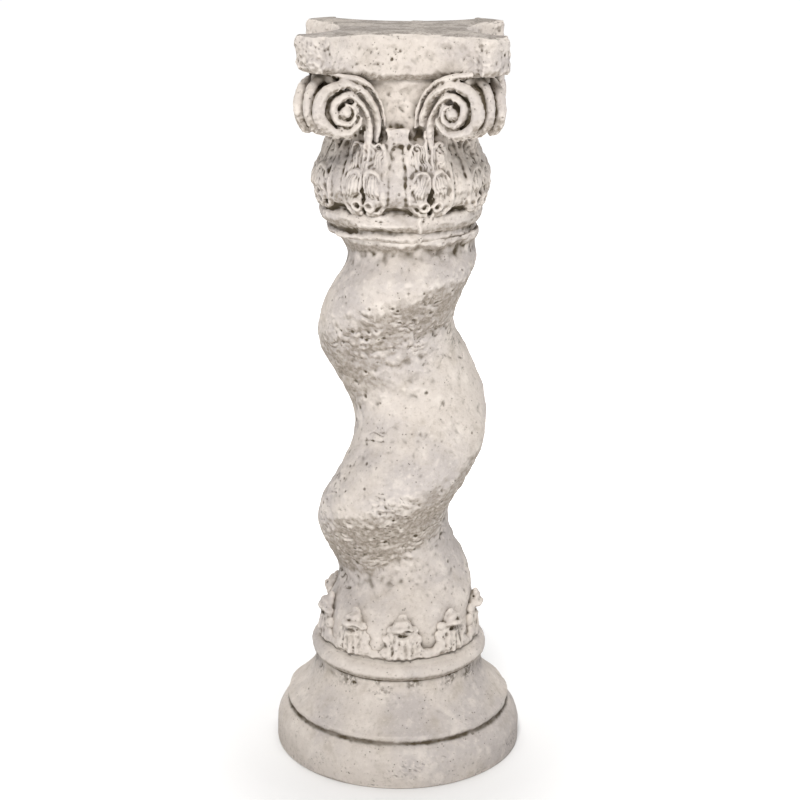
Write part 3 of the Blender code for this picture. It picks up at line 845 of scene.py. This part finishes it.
def make_capital():
    stock = bmesh.new()
    band_half = (RING_LEVEL - NECK_LEVEL) / 2
    ring_half = (BELL_LEVEL - RING_LEVEL) / 2
    band_middle = (NECK_BAND_RADIUS - 0.6 * band_half, NECK_LEVEL + band_half)
    profile = [(0, NECK_LEVEL - 0.004), (0.07, NECK_LEVEL - 0.004)]
    profile += arc(band_middle, 0.6 * band_half, -90, 60, 12)
    profile += arc((NECK_RING_RADIUS - ring_half, RING_LEVEL + ring_half), ring_half, -72, 68, 16)
    for height in np.linspace(0.004, BELL_HEIGHT, 44):
        profile.append((bell_radius(height), BELL_LEVEL + height))
    profile += [(BELL_LIP, SLAB_LEVEL + 0.012), (0, SLAB_LEVEL + 0.012)]
    add_turned(stock, profile, 96)
    for vert in stock.verts:
        square = ease(((vert.co.z - BELL_LEVEL) / BELL_HEIGHT - 0.45) / 0.4)
        turn = math.atan2(vert.co.y, vert.co.x)
        off_face = (turn + math.pi / 4) % (math.pi / 2) - math.pi / 4
        vert.co.xy *= 1 + square * (1 / math.cos(off_face) - 1)
    draw = random.Random(SEED + 1)
    for number in range(BELL_LEAVES):
        turn = -math.pi / 2 + 2 * math.pi * number / BELL_LEAVES
        add_trunk(stock, turn)
        add_bell_leaf(stock, turn + math.pi / BELL_LEAVES, draw)
    for number in range(4):
        turn = Matrix.Rotation(number * math.pi / 2, 4, "Z")
        place = Matrix.Translation((0, -BLOCK_REACH + BLOCK_DEPTH / 2, BLOCK_LEVEL))
        tilt = Matrix.Rotation(math.radians(draw.uniform(-3, 3)), 4, "Y")
        size = (BLOCK_WIDTH, BLOCK_DEPTH, BLOCK_HEIGHT)
        add_box(stock, turn @ place @ tilt, size, 0.0028)
    capital = cast("capital_bell", stock, CAPITAL_GRAIN)
    carve(capital, capital_surface, softening=2)
    return capital


# Volutes


def volute_place(across, up, sink):
    """A place on the spiral face towards +Y, on the corner between +X and +Y, from its eye."""
    back = 0.0115 * float(ease((-across - 0.008) / 0.032))
    x = EYE_X + across + sink * math.sin(VOLUTE_SPLAY)
    y = EYE_Y + across * math.tan(VOLUTE_SPLAY) - back - sink * math.cos(VOLUTE_SPLAY)
    return Vector((x, y, EYE_LEVEL + up))


FACE_OUT = Vector((-math.sin(VOLUTE_SPLAY), math.cos(VOLUTE_SPLAY), 0))

# Turns of the first band and of the second: (turns from the top, centre radius, half width)
FIRST_BAND = [
    (0.000, 0.0315, 0.0052),
    (0.125, 0.0315, 0.0068),
    (0.250, 0.0292, 0.0072),
    (0.375, 0.0264, 0.0066),
    (0.500, 0.0236, 0.0053),
    (0.610, 0.0200, 0.0038),
    (0.700, 0.0172, 0.0022),
]
SECOND_BAND = [
    (1.000, 0.0185, 0.0044),
    (1.125, 0.0158, 0.0046),
    (1.250, 0.0125, 0.0048),
    (1.375, 0.0127, 0.0045),
    (1.500, 0.0134, 0.0041),
    (1.625, 0.0121, 0.0032),
    (1.750, 0.0097, 0.0022),
    (1.875, 0.0090, 0.0016),
    (2.000, 0.0092, 0.0013),
]
# The bands on their way up from the bell: (across, up, sink, half width)
FIRST_RISE = [
    (-0.0330, -0.0370, 0.0085, 0.0024),
    (-0.0347, -0.0260, 0.0075, 0.0034),
    (-0.0350, -0.0170, 0.0062, 0.0042),
    (-0.0330, -0.0070, 0.0060, 0.0046),
    (-0.0290, 0.0040, 0.0060, 0.0048),
    (-0.0235, 0.0145, 0.0060, 0.0049),
    (-0.0155, 0.0240, 0.0060, 0.0050),
]
SECOND_RISE = [
    (-0.0235, -0.0520, 0.0150, 0.0028),
    (-0.0255, -0.0380, 0.0110, 0.0032),
    (-0.0262, -0.0250, 0.0085, 0.0034),
    (-0.0250, -0.0130, 0.0070, 0.0035),
    (-0.0212, -0.0010, 0.0065, 0.0036),
    (-0.0140, 0.0110, 0.0065, 0.0038),
    (-0.0065, 0.0180, 0.0065, 0.0042),
]
OUTER_RIB = [
    (-0.0425, -0.0200, 0.0095, 0.0016),
    (-0.0415, -0.0090, 0.0090, 0.0019),
    (-0.0385, 0.0050, 0.0085, 0.0023),
    (-0.0320, 0.0180, 0.0080, 0.0028),
    (-0.0230, 0.0295, 0.0078, 0.0034),
    (-0.0100, 0.0372, 0.0078, 0.0040),
    (0.0060, 0.0410, 0.0110, 0.0040),
    (0.0180, 0.0440, 0.0170, 0.0034),
]
INNER_RIB = [
    (-0.0085, 0.0100, 0.0060, 0.0012),
    (-0.0125, 0.0020, 0.0060, 0.0014),
    (-0.0155, -0.0090, 0.0070, 0.0013),
    (-0.0170, -0.0200, 0.0090, 0.0010),
]


def spiral_stations(band, sink):
    """The turns of a band as places on the face."""
    found = []
    for turns, radius, half in band:
        angle = 2 * math.pi * turns
        found.append((radius * math.sin(angle), radius * math.cos(angle), sink, half))
    return found


def spiral_reach(turns):
    """Outer radius of the first band, where the middle ridge of the corner follows it."""
    table = np.array(FIRST_BAND)
    return float(np.interp(turns, table[:, 0], table[:, 1] + table[:, 2]))


def add_band(stock, stations, depth):
    """A bar along the stations (across, up, sink, half width) of the spiral face."""
    places = [volute_place(*row[:3]) for row in stations]
    widths = [row[3] for row in stations]
    add_bar(stock, places, widths, [depth] * len(stations), [FACE_OUT] * len(stations), sides=14)


def volute_face(draw, broken):
    """One spiral face with the ribs that rise to it, as stock to place at each corner."""
    face = bmesh.new()
    rise = FIRST_RISE[2 if broken else 0 :]
    first = flowing(rise + spiral_stations(FIRST_BAND, BAND_DEPTH), 6)
    add_band(face, first, BAND_DEPTH)
    second = flowing(SECOND_RISE + spiral_stations(SECOND_BAND, BAND_DEPTH + 0.0008), 6)
    add_band(face, second, BAND_DEPTH - 0.0006)
    add_band(face, flowing(OUTER_RIB, 5), 0.0055)
    add_band(face, flowing(INNER_RIB, 4), 0.0040)
    eye = Matrix.Translation(volute_place(0.0006, -0.0004, 0.0048))
    add_ball(face, eye @ Matrix.Diagonal((EYE_RADIUS, EYE_RADIUS, EYE_RADIUS, 1)))
    # Ragged bits of stone that hang from the underside of the roll
    for _ in range(4):
        across = draw.uniform(-0.014, 0.018)
        top = -math.sqrt(max(0.0262**2 - across**2, 0.0)) + 0.001
        drop = draw.uniform(0.003, 0.006)
        shard = [(across, top, 0.006, 0.0022), (across + 0.001, top - drop, 0.006, 0.0009)]
        add_band(face, shard, 0.0020)
    return face


def add_corner_body(stock, turn):
    """The body between two spiral faces: core, arm to the bell, cap to the slab, middle ridge."""
    core = bmesh.new()
    loops = []
    for side in SPIRAL_SIDES:
        ring = bmesh.ops.create_circle(core, cap_ends=False, segments=40, radius=1)["verts"]
        for vert in ring:
            angle = math.atan2(vert.co.x, vert.co.y)
            turns = (angle / (2 * math.pi)) % 1
            reach = spiral_reach(turns) - 0.0065
            place = volute_place(reach * math.sin(angle), reach * math.cos(angle), CHANNEL_DEPTH)
            vert.co = side @ place
        loops.append([edge for edge in core.edges if edge.verts[0] in ring])
    bmesh.ops.bridge_loops(core, edges=loops[0] + loops[1])
    for loop in loops:
        bmesh.ops.edgeloop_fill(core, edges=loop)
    bmesh.ops.recalc_face_normals(core, faces=core.faces)
    merge_into(stock, core, turn)
    core.free()
    diagonal = turn @ Matrix.Rotation(math.pi / 4, 4, "Z")
    eye_distance = math.hypot(EYE_X, EYE_Y)
    top = SLAB_LEVEL + 0.016
    arm_bottom = EYE_LEVEL - 0.34 * VOLUTE_RADIUS
    cap_bottom = EYE_LEVEL + 0.78 * VOLUTE_RADIUS
    bars = [
        (0.86 * eye_distance, 0.036, arm_bottom, 0.006),
        (eye_distance + 0.004, 0.037, cap_bottom, 0.004),
    ]
    for length, width, bottom, edge in bars:
        place = Matrix.Translation((length / 2, 0, (bottom + top) / 2))
        add_box(stock, diagonal @ place, (length, width, top - bottom), edge)
    ridge = []
    for turns in np.linspace(-0.03, 0.58, 22):
        angle = 2 * math.pi * turns
        reach = spiral_reach(turns) - RIDGE_HALF
        rise = reach * math.cos(angle) * (1.22 if turns < 0.25 else 1.0)
        front = volute_place(reach * math.sin(angle), rise, RIDGE_HALF)
        out = (front.x + front.y) / 2
        ridge.append(turn @ Vector((out, out, front.z)))
    halves = [RIDGE_HALF] * len(ridge)
    facing = turn.to_3x3() @ Vector((1, -1, 0))
    add_bar(stock, ridge, halves, halves, [facing] * len(ridge), sides=14)


def volute_surface(points, normals):
    """Worn, pitted stone, rougher under the rolls."""
    offset = 0.0006 * waves(points, 0.018, 80) + 0.0003 * waves(points, 0.008, 81)
    offset += 0.0004 * waves(points, 0.0040, 82)
    offset -= 0.0014 * pits(points, 0.0070, 0.0021, 0.36, 83)
    offset -= 0.0011 * pits(points, 0.0125, 0.0032, 0.22, 89)
    under = ease(-0.2 - 1.4 * normals[:, 2])
    offset -= 0.0018 * under * np.abs(waves(points, 0.0055, 95))
    return offset


def make_volutes():
    stock = bmesh.new()
    draw = random.Random(SEED + 2)
    for corner in range(4):
        turn = Matrix.Rotation(corner * math.pi / 2, 4, "Z")
        for number, side in enumerate(SPIRAL_SIDES):
            face = volute_face(draw, (corner, number) in BROKEN_FACES)
            merge_into(stock, face, turn @ side)
            face.free()
        add_corner_body(stock, turn)
    bmesh.ops.translate(stock, verts=stock.verts, vec=(TOP_SHIFT, 0, 0))
    volutes = cast("corner_volutes", stock, VOLUTE_GRAIN)
    carve(volutes, volute_surface, softening=1)
    return volutes


# Slab


def slab_outline():
    """Hollow sides as arcs between horns cut off at 45 degrees."""
    half_chord = SLAB_HORN - HORN_CUT
    dip = SLAB_HORN - SLAB_WAIST
    radius = (half_chord**2 + dip**2) / (2 * dip)
    reach = math.asin(half_chord / radius)
    outline = []
    for side in range(4):
        turn = Matrix.Rotation(side * math.pi / 2, 3, "Z")
        for angle in np.linspace(-reach, reach, 25):
            out = SLAB_WAIST + radius * (1 - math.cos(angle))
            outline.append(turn @ Vector((out, radius * math.sin(angle), 0)))
    return outline


def slab_surface(points, normals):
    """Pitted sides, rough horn ends and a flat, faintly pocked top."""
    top = ease((normals[:, 2] - 0.75) / 0.2)
    offset = 0.0013 * waves(points, 0.030, 100) + 0.0007 * waves(points, 0.011, 101)
    offset += 0.0004 * waves(points, 0.0048, 102)
    cluster = ease(waves(points, 0.030, 103) * 1.2 + 0.3)
    offset -= 0.0012 * cluster * pits(points, 0.0054, 0.0016, 0.50, 104)
    horn = ease((np.hypot(points[:, 0], points[:, 1]) - 0.128) / 0.010)
    offset -= 0.0013 * (1 - 0.6 * horn) * pits(points, 0.0140, 0.0036, 0.22, 110)
    offset += 0.0007 * horn * waves(points, 0.0040, 116)
    scars = np.clip(1 - 2.4 * np.abs(waves(points, 0.014, 117)), 0, 1)
    offset -= 0.0005 * scars * cluster * (1 - horn)
    offset = offset * (1 - top) - 0.0005 * top * pits(points, 0.011, 0.0026, 0.4, 118)
    return offset


def make_slab():
    stock = bmesh.new()
    face = stock.faces.new([stock.verts.new(point) for point in slab_outline()])
    grown = bmesh.ops.extrude_face_region(stock, geom=[face])["geom"]
    upper = [item for item in grown if isinstance(item, bmesh.types.BMVert)]
    thickness = TOP_LEVEL - SLAB_LEVEL
    bmesh.ops.translate(stock, verts=upper, vec=(0, 0, thickness))
    uprights = [e for e in stock.edges if abs(e.verts[0].co.z - e.verts[1].co.z) > 1e-3]
    corners = [e for e in uprights if e.verts[0].co.xy.length > 0.14]
    round_off(stock, corners, HORN_ROUNDING, 5)
    rims = [e for e in stock.edges if abs(e.verts[0].co.z - e.verts[1].co.z) < 1e-6]
    round_off(stock, rims, SLAB_EDGE, 5)
    horn = math.hypot(SLAB_HORN, SLAB_HORN - HORN_CUT)
    for vert in stock.verts:
        reach = max(vert.co.xy.length - SLAB_WAIST, 0) / (horn - SLAB_WAIST)
        drop = 0.0018 * float(ease((vert.co.x + 0.080) / 0.080)) * (vert.co.y < 0)
        low = 1 - vert.co.z / thickness
        vert.co.z += SLAB_LEVEL + (SLAB_UNDERCUT * reach - drop) * low
    bmesh.ops.rotate(stock, verts=stock.verts, matrix=Matrix.Rotation(SLAB_TURN, 3, "Z"))
    bmesh.ops.scale(stock, verts=stock.verts, vec=(SLAB_GROWTH, SLAB_GROWTH, 1))
    bmesh.ops.translate(stock, verts=stock.verts, vec=(TOP_SHIFT, 0, 0))
    bmesh.ops.recalc_face_normals(stock, faces=stock.faces)
    slab = cast("top_slab", stock, SLAB_GRAIN)
    carve(slab, slab_surface, softening=2)
    return slab


# What the finish reads from the surface: creases and hollows, nooks and sheltered places


GRID_PITCH = 0.003


def solid_grid(pieces):
    """1 in each cell of a grid round the pedestal that a solid fills, by rays up its columns."""
    low = np.array(CAD_LOW) - 8 * GRID_PITCH
    counts = np.ceil((np.array(CAD_HIGH) - low) / GRID_PITCH).astype(int) + 8
    filled = np.zeros(counts, np.float32)
    up = Vector((0, 0, 1))
    bpy.context.view_layer.update()
    for piece in pieces:
        points = read_points(piece.data)
        first = ((points.min(0) - low) / GRID_PITCH).astype(int)
        last = ((points.max(0) - low) / GRID_PITCH).astype(int) + 1
        for i, j in itertools.product(range(first[0], last[0]), range(first[1], last[1])):
            x, y = low[:2] + GRID_PITCH * (np.array([i, j]) + 0.5)
            start = Vector((x, y, low[2]))
            entered = None
            for _ in range(40):
                hit, place, normal, _ = piece.ray_cast(start, up)
                if not hit:
                    break
                if normal.z < 0:
                    entered = place.z if entered is None else entered
                elif entered is not None:
                    span = (np.array([entered, place.z]) - low[2]) / GRID_PITCH + 0.5
                    filled[i, j, int(span[0]) : int(span[1])] = 1
                    entered = None
                start = place + up * 0.00002
    return low, filled


def box_blur(grid, half):
    """Each cell's mean over the cells up to half of them away on each axis."""
    for axis in range(3):
        sums = np.cumsum(grid, axis=axis, dtype=np.float32)
        sums = np.moveaxis(sums, axis, 0)
        blurred = np.zeros_like(sums)
        width = 2 * half + 1
        blurred[half + 1 : -half] = (sums[width:] - sums[:-width]) / width
        grid = np.moveaxis(blurred, 0, axis)
    return grid


def sample_grid(grid, low, points):
    """The grid's value at each point, between the middles of its cells."""
    cells = np.clip((points - low) / GRID_PITCH - 0.5, 0, np.array(grid.shape) - 1.001)
    home = cells.astype(int)
    share = cells - home
    total = np.zeros(len(points))
    for corner in itertools.product((0, 1), repeat=3):
        weight = np.prod(np.where(corner, share, 1 - share), axis=1)
        i, j, k = (home + corner).T
        total += weight * grid[i, j, k]
    return total


def mark(mesh, name, values):
    """Stores a value for each point of the mesh."""
    attribute = mesh.attributes.new(name, "FLOAT", "POINT")
    attribute.data.foreach_set("value", np.ascontiguousarray(values, np.float32))


def mark_pieces(pieces):
    """Writes crease, hollow, nook and shelter on every point of every piece."""
    low, filled = solid_grid(pieces)
    near = box_blur(box_blur(filled, 1), 2)
    wide = box_blur(box_blur(filled, 3), 5)
    for piece in pieces:
        mesh = piece.data
        points = read_points(mesh)
        normals = read_normals(mesh)
        fine = spread(mesh, points, 4)
        broad = spread(mesh, fine, 22)
        crease = np.sum((fine - points) * normals, axis=1) / 0.00035
        hollow = np.sum((broad - points) * normals, axis=1) / 0.0012
        mark(mesh, "crease", np.clip(crease, -1, 1))
        mark(mesh, "hollow", np.clip(hollow, -1, 1))
        # Nook and shelter: how closed in each point is, near by and wider; the finish darkens by them
        # as painted shade with dirt
        close = sample_grid(near, low, points + normals * 0.0035)
        far = sample_grid(wide, low, points + normals * 0.006)
        closed_in = spread(mesh, np.stack([close, far], 1), 6)
        mark(mesh, "nook", np.clip((closed_in[:, 0] - 0.22) / 0.40, 0, 1))
        mark(mesh, "shelter", np.clip((closed_in[:, 1] - 0.30) / 0.35, 0, 1))


# Finish


class Shade:
    """A shader socket on which Python's operators add Math nodes."""

    def __init__(self, tree, socket=None):
        self.tree = tree
        self.socket = socket

    def node(self, kind, settings=None, inputs=None, output=0):
        """A node of any kind: its settings first, then the values or links of its sockets."""
        made = self.tree.nodes.new(kind)
        for name, value in (settings or {}).items():
            setattr(made, name, value)
        for name, value in (inputs or {}).items():
            if isinstance(value, Shade):
                self.tree.links.new(value.socket, made.inputs[name])
            else:
                made.inputs[name].default_value = value
        return Shade(self.tree, made.outputs[output])

    def maths(self, operation, first, second=0.0, clamp=False):
        settings = {"operation": operation, "use_clamp": clamp}
        return self.node("ShaderNodeMath", settings, {0: first, 1: second})

    def __add__(self, other):
        return self.maths("ADD", self, other)

    def __radd__(self, other):
        return self.maths("ADD", other, self)

    def __sub__(self, other):
        return self.maths("SUBTRACT", self, other)

    def __rsub__(self, other):
        return self.maths("SUBTRACT", other, self)

    def __mul__(self, other):
        return self.maths("MULTIPLY", self, other)

    def held(self):
        """Kept from 0 to 1."""
        return self.maths("ADD", self, 0.0, clamp=True)

    def ramp(self, low, high):
        """0 at low, 1 at high, with a soft change between."""
        settings = {"interpolation_type": "SMOOTHSTEP"}
        inputs = {"Value": self, "From Min": low, "From Max": high}
        return self.node("ShaderNodeMapRange", settings, inputs)


def mixed(below, above, share):
    """One colour over another."""
    inputs = {"Factor": share, 6: below, 7: above}
    return share.node("ShaderNodeMix", {"data_type": "RGBA"}, inputs, 2)


def stone_finish():
    """Pale weathered cast stone: mottled grey, dirt and painted shade in hollows, painted shade on
    undersides, edges paler from wear and painted highlight, fine grain.
    """
    material = bpy.data.materials.new("cast_stone")
    material.use_nodes = True
    tree = material.node_tree
    shader = tree.nodes["Principled BSDF"]
    start = Shade(tree)
    place = start.node("ShaderNodeTexCoord", output=3)

    def noise(scale, detail=3.0, roughness=0.55):
        inputs = {"Vector": place, "Scale": scale, "Detail": detail, "Roughness": roughness}
        return start.node("ShaderNodeTexNoise", {}, inputs)

    def carried(name):
        return start.node("ShaderNodeAttribute", {"attribute_name": name}, output=2)

    crease, hollow, nook, shelter = map(carried, ("crease", "hollow", "nook", "shelter"))
    clouds = noise(9.0, 4.0)
    blotches = noise(38.0, 5.0)
    flecks = noise(240.0, 3.0, 0.7)
    grain = noise(900.0, 2.0)

    # Stain, dirt and chalk also serve as painted shade and painted highlight below; shade is painted
    # shade on undersides
    pale = (0.660, 0.598, 0.543, 1)
    cool = (0.500, 0.458, 0.442, 1)
    stain_and_shelter_shade = (0.370, 0.318, 0.258, 1)
    dirt_and_crease_shade = (0.092, 0.072, 0.047, 1)
    chalk_and_edge_highlight = (0.800, 0.735, 0.672, 1)
    soot = (0.235, 0.210, 0.185, 1)
    shade = (0.225, 0.188, 0.148, 1)

    # The upper faces of the slab hold dark weathering
    height = start.node("ShaderNodeSeparateXYZ", {}, {"Vector": place}, 2)
    facing = start.node("ShaderNodeNewGeometry", output=1)
    upward = start.node("ShaderNodeSeparateXYZ", {}, {"Vector": facing}, 2)
    on_top = upward.ramp(0.70, 0.95) * height.ramp(0.880, 0.892)
    top_dirt = 0.38 + blotches.ramp(0.38, 0.62) * 0.42 + flecks.ramp(0.44, 0.60) * 0.35
    # Dirt and painted shade darken creases, hollows and nooks, broken up by the mottling
    broken = blotches.ramp(0.30, 0.70) * 0.5 + 0.6
    grime_and_painted_shade = (hollow.ramp(0.05, 0.75) * 0.55 + crease.ramp(0.10, 0.9) * 0.45) * broken
    grime_and_painted_shade = grime_and_painted_shade + nook.ramp(0.30, 0.95) * broken * 0.75
    # Patchy dirt and painted shade on the band under the collar's overhang
    below_collar = height.ramp(FILLET_LEVEL - 0.008, FILLET_LEVEL - 0.001)
    below_collar = below_collar * (1 - height.ramp(COLLAR_LEVEL, COLLAR_LEVEL + 0.003))
    grime_and_painted_shade = grime_and_painted_shade + below_collar * blotches.ramp(0.45, 0.60) * flecks.ramp(0.40, 0.56) * 0.6
    # Painted shade: faces that look downwards are darkened, more in patches
    painted_underside_shade = (0 - upward).ramp(0.00, 0.50) * (0.62 + flecks.ramp(0.4, 0.6) * 0.3)
    # Raised edges paler: wear and painted highlight
    worn_and_highlit_edges = (0 - crease).ramp(0.15, 0.9) * 0.35 + (0 - hollow).ramp(0.2, 1.0) * 0.25
    pinholes = start.node(
        "ShaderNodeTexVoronoi", {"feature": "F1"}, {"Vector": place, "Scale": 190.0}
    )
    holes = (1 - pinholes.ramp(0.07, 0.19)) * noise(60.0).ramp(0.48, 0.60)

    color = mixed(pale, cool, clouds.ramp(0.42, 0.62) * 0.75)
    layers = [
        (chalk_and_edge_highlight, blotches.ramp(0.52, 0.70) * 0.55),
        (stain_and_shelter_shade, (1 - blotches).ramp(0.53, 0.72) * 0.38),
        (stain_and_shelter_shade, flecks.ramp(0.54, 0.70) * 0.36),
        (chalk_and_edge_highlight, (1 - flecks).ramp(0.56, 0.72) * 0.40),
        (soot, (on_top * top_dirt).held()),
        (shade, painted_underside_shade.held()),
        # Painted shade with stain in sheltered places
        (stain_and_shelter_shade, (shelter.ramp(0.05, 0.8) * 0.55 * broken).held()),
        # Dirt and painted shade in creases and nooks
        (dirt_and_crease_shade, grime_and_painted_shade.held()),
        # Wear and painted highlight on raised edges
        (chalk_and_edge_highlight, (worn_and_highlit_edges * (1 - on_top)).held()),
        (dirt_and_crease_shade, holes * 0.7),
    ]
    for tint, share in layers:
        color = mixed(color, tint, share)
    tree.links.new(color.socket, shader.inputs["Base Color"])
    rough = 0.86 + grain * 0.12
    tree.links.new(rough.socket, shader.inputs["Roughness"])
    shader.inputs["Specular IOR Level"].default_value = 0.25
    relief = grain * 0.35 + flecks * 0.8 + noise(110.0, 3.0) * 0.6 - holes * 1.6
    inputs = {"Height": relief, "Strength": 0.8, "Distance": 0.0011}
    bump = start.node("ShaderNodeBump", {}, inputs)
    tree.links.new(bump.socket, shader.inputs["Normal"])
    return material


# Studio

CAMERA_DISTANCE = 2.1356
CAMERA_HEIGHT = 1.1115
CAMERA_PITCH = 0.3009
CAMERA_ROLL = math.radians(0.398)
FOCAL_PIXELS = 1821.9
IMAGE_PIXELS = 800
SENSOR_WIDTH = 36.0
LIGHT_TARGET = Vector((0, 0, 0.5))


def add_camera():
    data = bpy.data.cameras.new("camera")
    data.sensor_width = SENSOR_WIDTH
    data.lens = FOCAL_PIXELS / IMAGE_PIXELS * SENSOR_WIDTH
    camera = new_object("camera", data)
    swing = Matrix.Rotation(VIEW_TURN, 4, "Z")
    place = Matrix.Translation((0, -CAMERA_DISTANCE, CAMERA_HEIGHT))
    pitch = Matrix.Rotation(math.pi / 2 - CAMERA_PITCH, 4, "X")
    camera.matrix_world = swing @ place @ pitch @ Matrix.Rotation(CAMERA_ROLL, 4, "Z")
    bpy.context.scene.camera = camera


def add_light(name, place, size, power, color):
    data = bpy.data.lights.new(name, "AREA")
    data.shape = "RECTANGLE"
    data.size, data.size_y = size
    data.energy = power
    data.color = color
    light = new_object(name, data)
    aim = (LIGHT_TARGET - Vector(place)).to_track_quat("-Z", "Y")
    light.matrix_world = Matrix.Translation(place) @ aim.to_matrix().to_4x4()


def add_studio():
    add_light("key", (-0.2, -3.2, 4.3), (1.45, 1.45), 182, (1.0, 0.985, 0.970))
    add_light("low", (1.3, -2.2, 0.8), (0.9, 0.9), 4, (1.0, 1.0, 1.0))
    add_light("overhead", (0.0, 1.2, 3.2), (3.0, 2.0), 66, (1.0, 1.0, 1.0))
    world = bpy.data.worlds.new("studio")
    world.use_nodes = True
    # White where the camera looks past the floor, and a faint fill on everything else
    background = world.node_tree.nodes["Background"]
    background.inputs["Color"].default_value = (1, 1, 1, 1)
    sky = Shade(world.node_tree)
    seen = sky.node("ShaderNodeLightPath")
    world.node_tree.links.new((seen * 0.93 + 0.07).socket, background.inputs["Strength"])
    bpy.context.scene.view_settings.view_transform = "Standard"
    bpy.context.scene.world = world
    ground = bmesh.new()
    bmesh.ops.create_grid(ground, x_segments=1, y_segments=1, size=12)
    floor = mesh_object("floor", ground)
    paint = bpy.data.materials.new("pale_floor")
    paint.use_nodes = True
    shader = paint.node_tree.nodes["Principled BSDF"]
    shader.inputs["Base Color"].default_value = (0.92, 0.92, 0.92, 1)
    shader.inputs["Roughness"].default_value = 0.95
    # Further off the floor glows, so that the ground behind the pedestal stays white
    start = Shade(paint.node_tree)
    place = start.node("ShaderNodeTexCoord", output=3)
    away = start.node("ShaderNodeVectorMath", {"operation": "LENGTH"}, {0: place}, 1)
    glow = mixed((0, 0, 0, 1), (1, 1, 1, 1), away.ramp(0.12, 0.70))
    paint.node_tree.links.new(glow.socket, shader.inputs["Emission Color"])
    shader.inputs["Emission Strength"].default_value = 0.95
    floor.data.materials.append(paint)


def main():
    pieces = [make_base(), make_shaft(), make_foot_leaves()]
    pieces += [make_capital(), make_volutes(), make_slab()]
    mark_pieces(pieces)
    finish = stone_finish()
    for piece in pieces:
        thin_out(piece)
        piece.data.materials.clear()
        piece.data.materials.append(finish)
        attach(piece, "root")
        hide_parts("column_pedestal")
    add_studio()
    add_camera()


main()
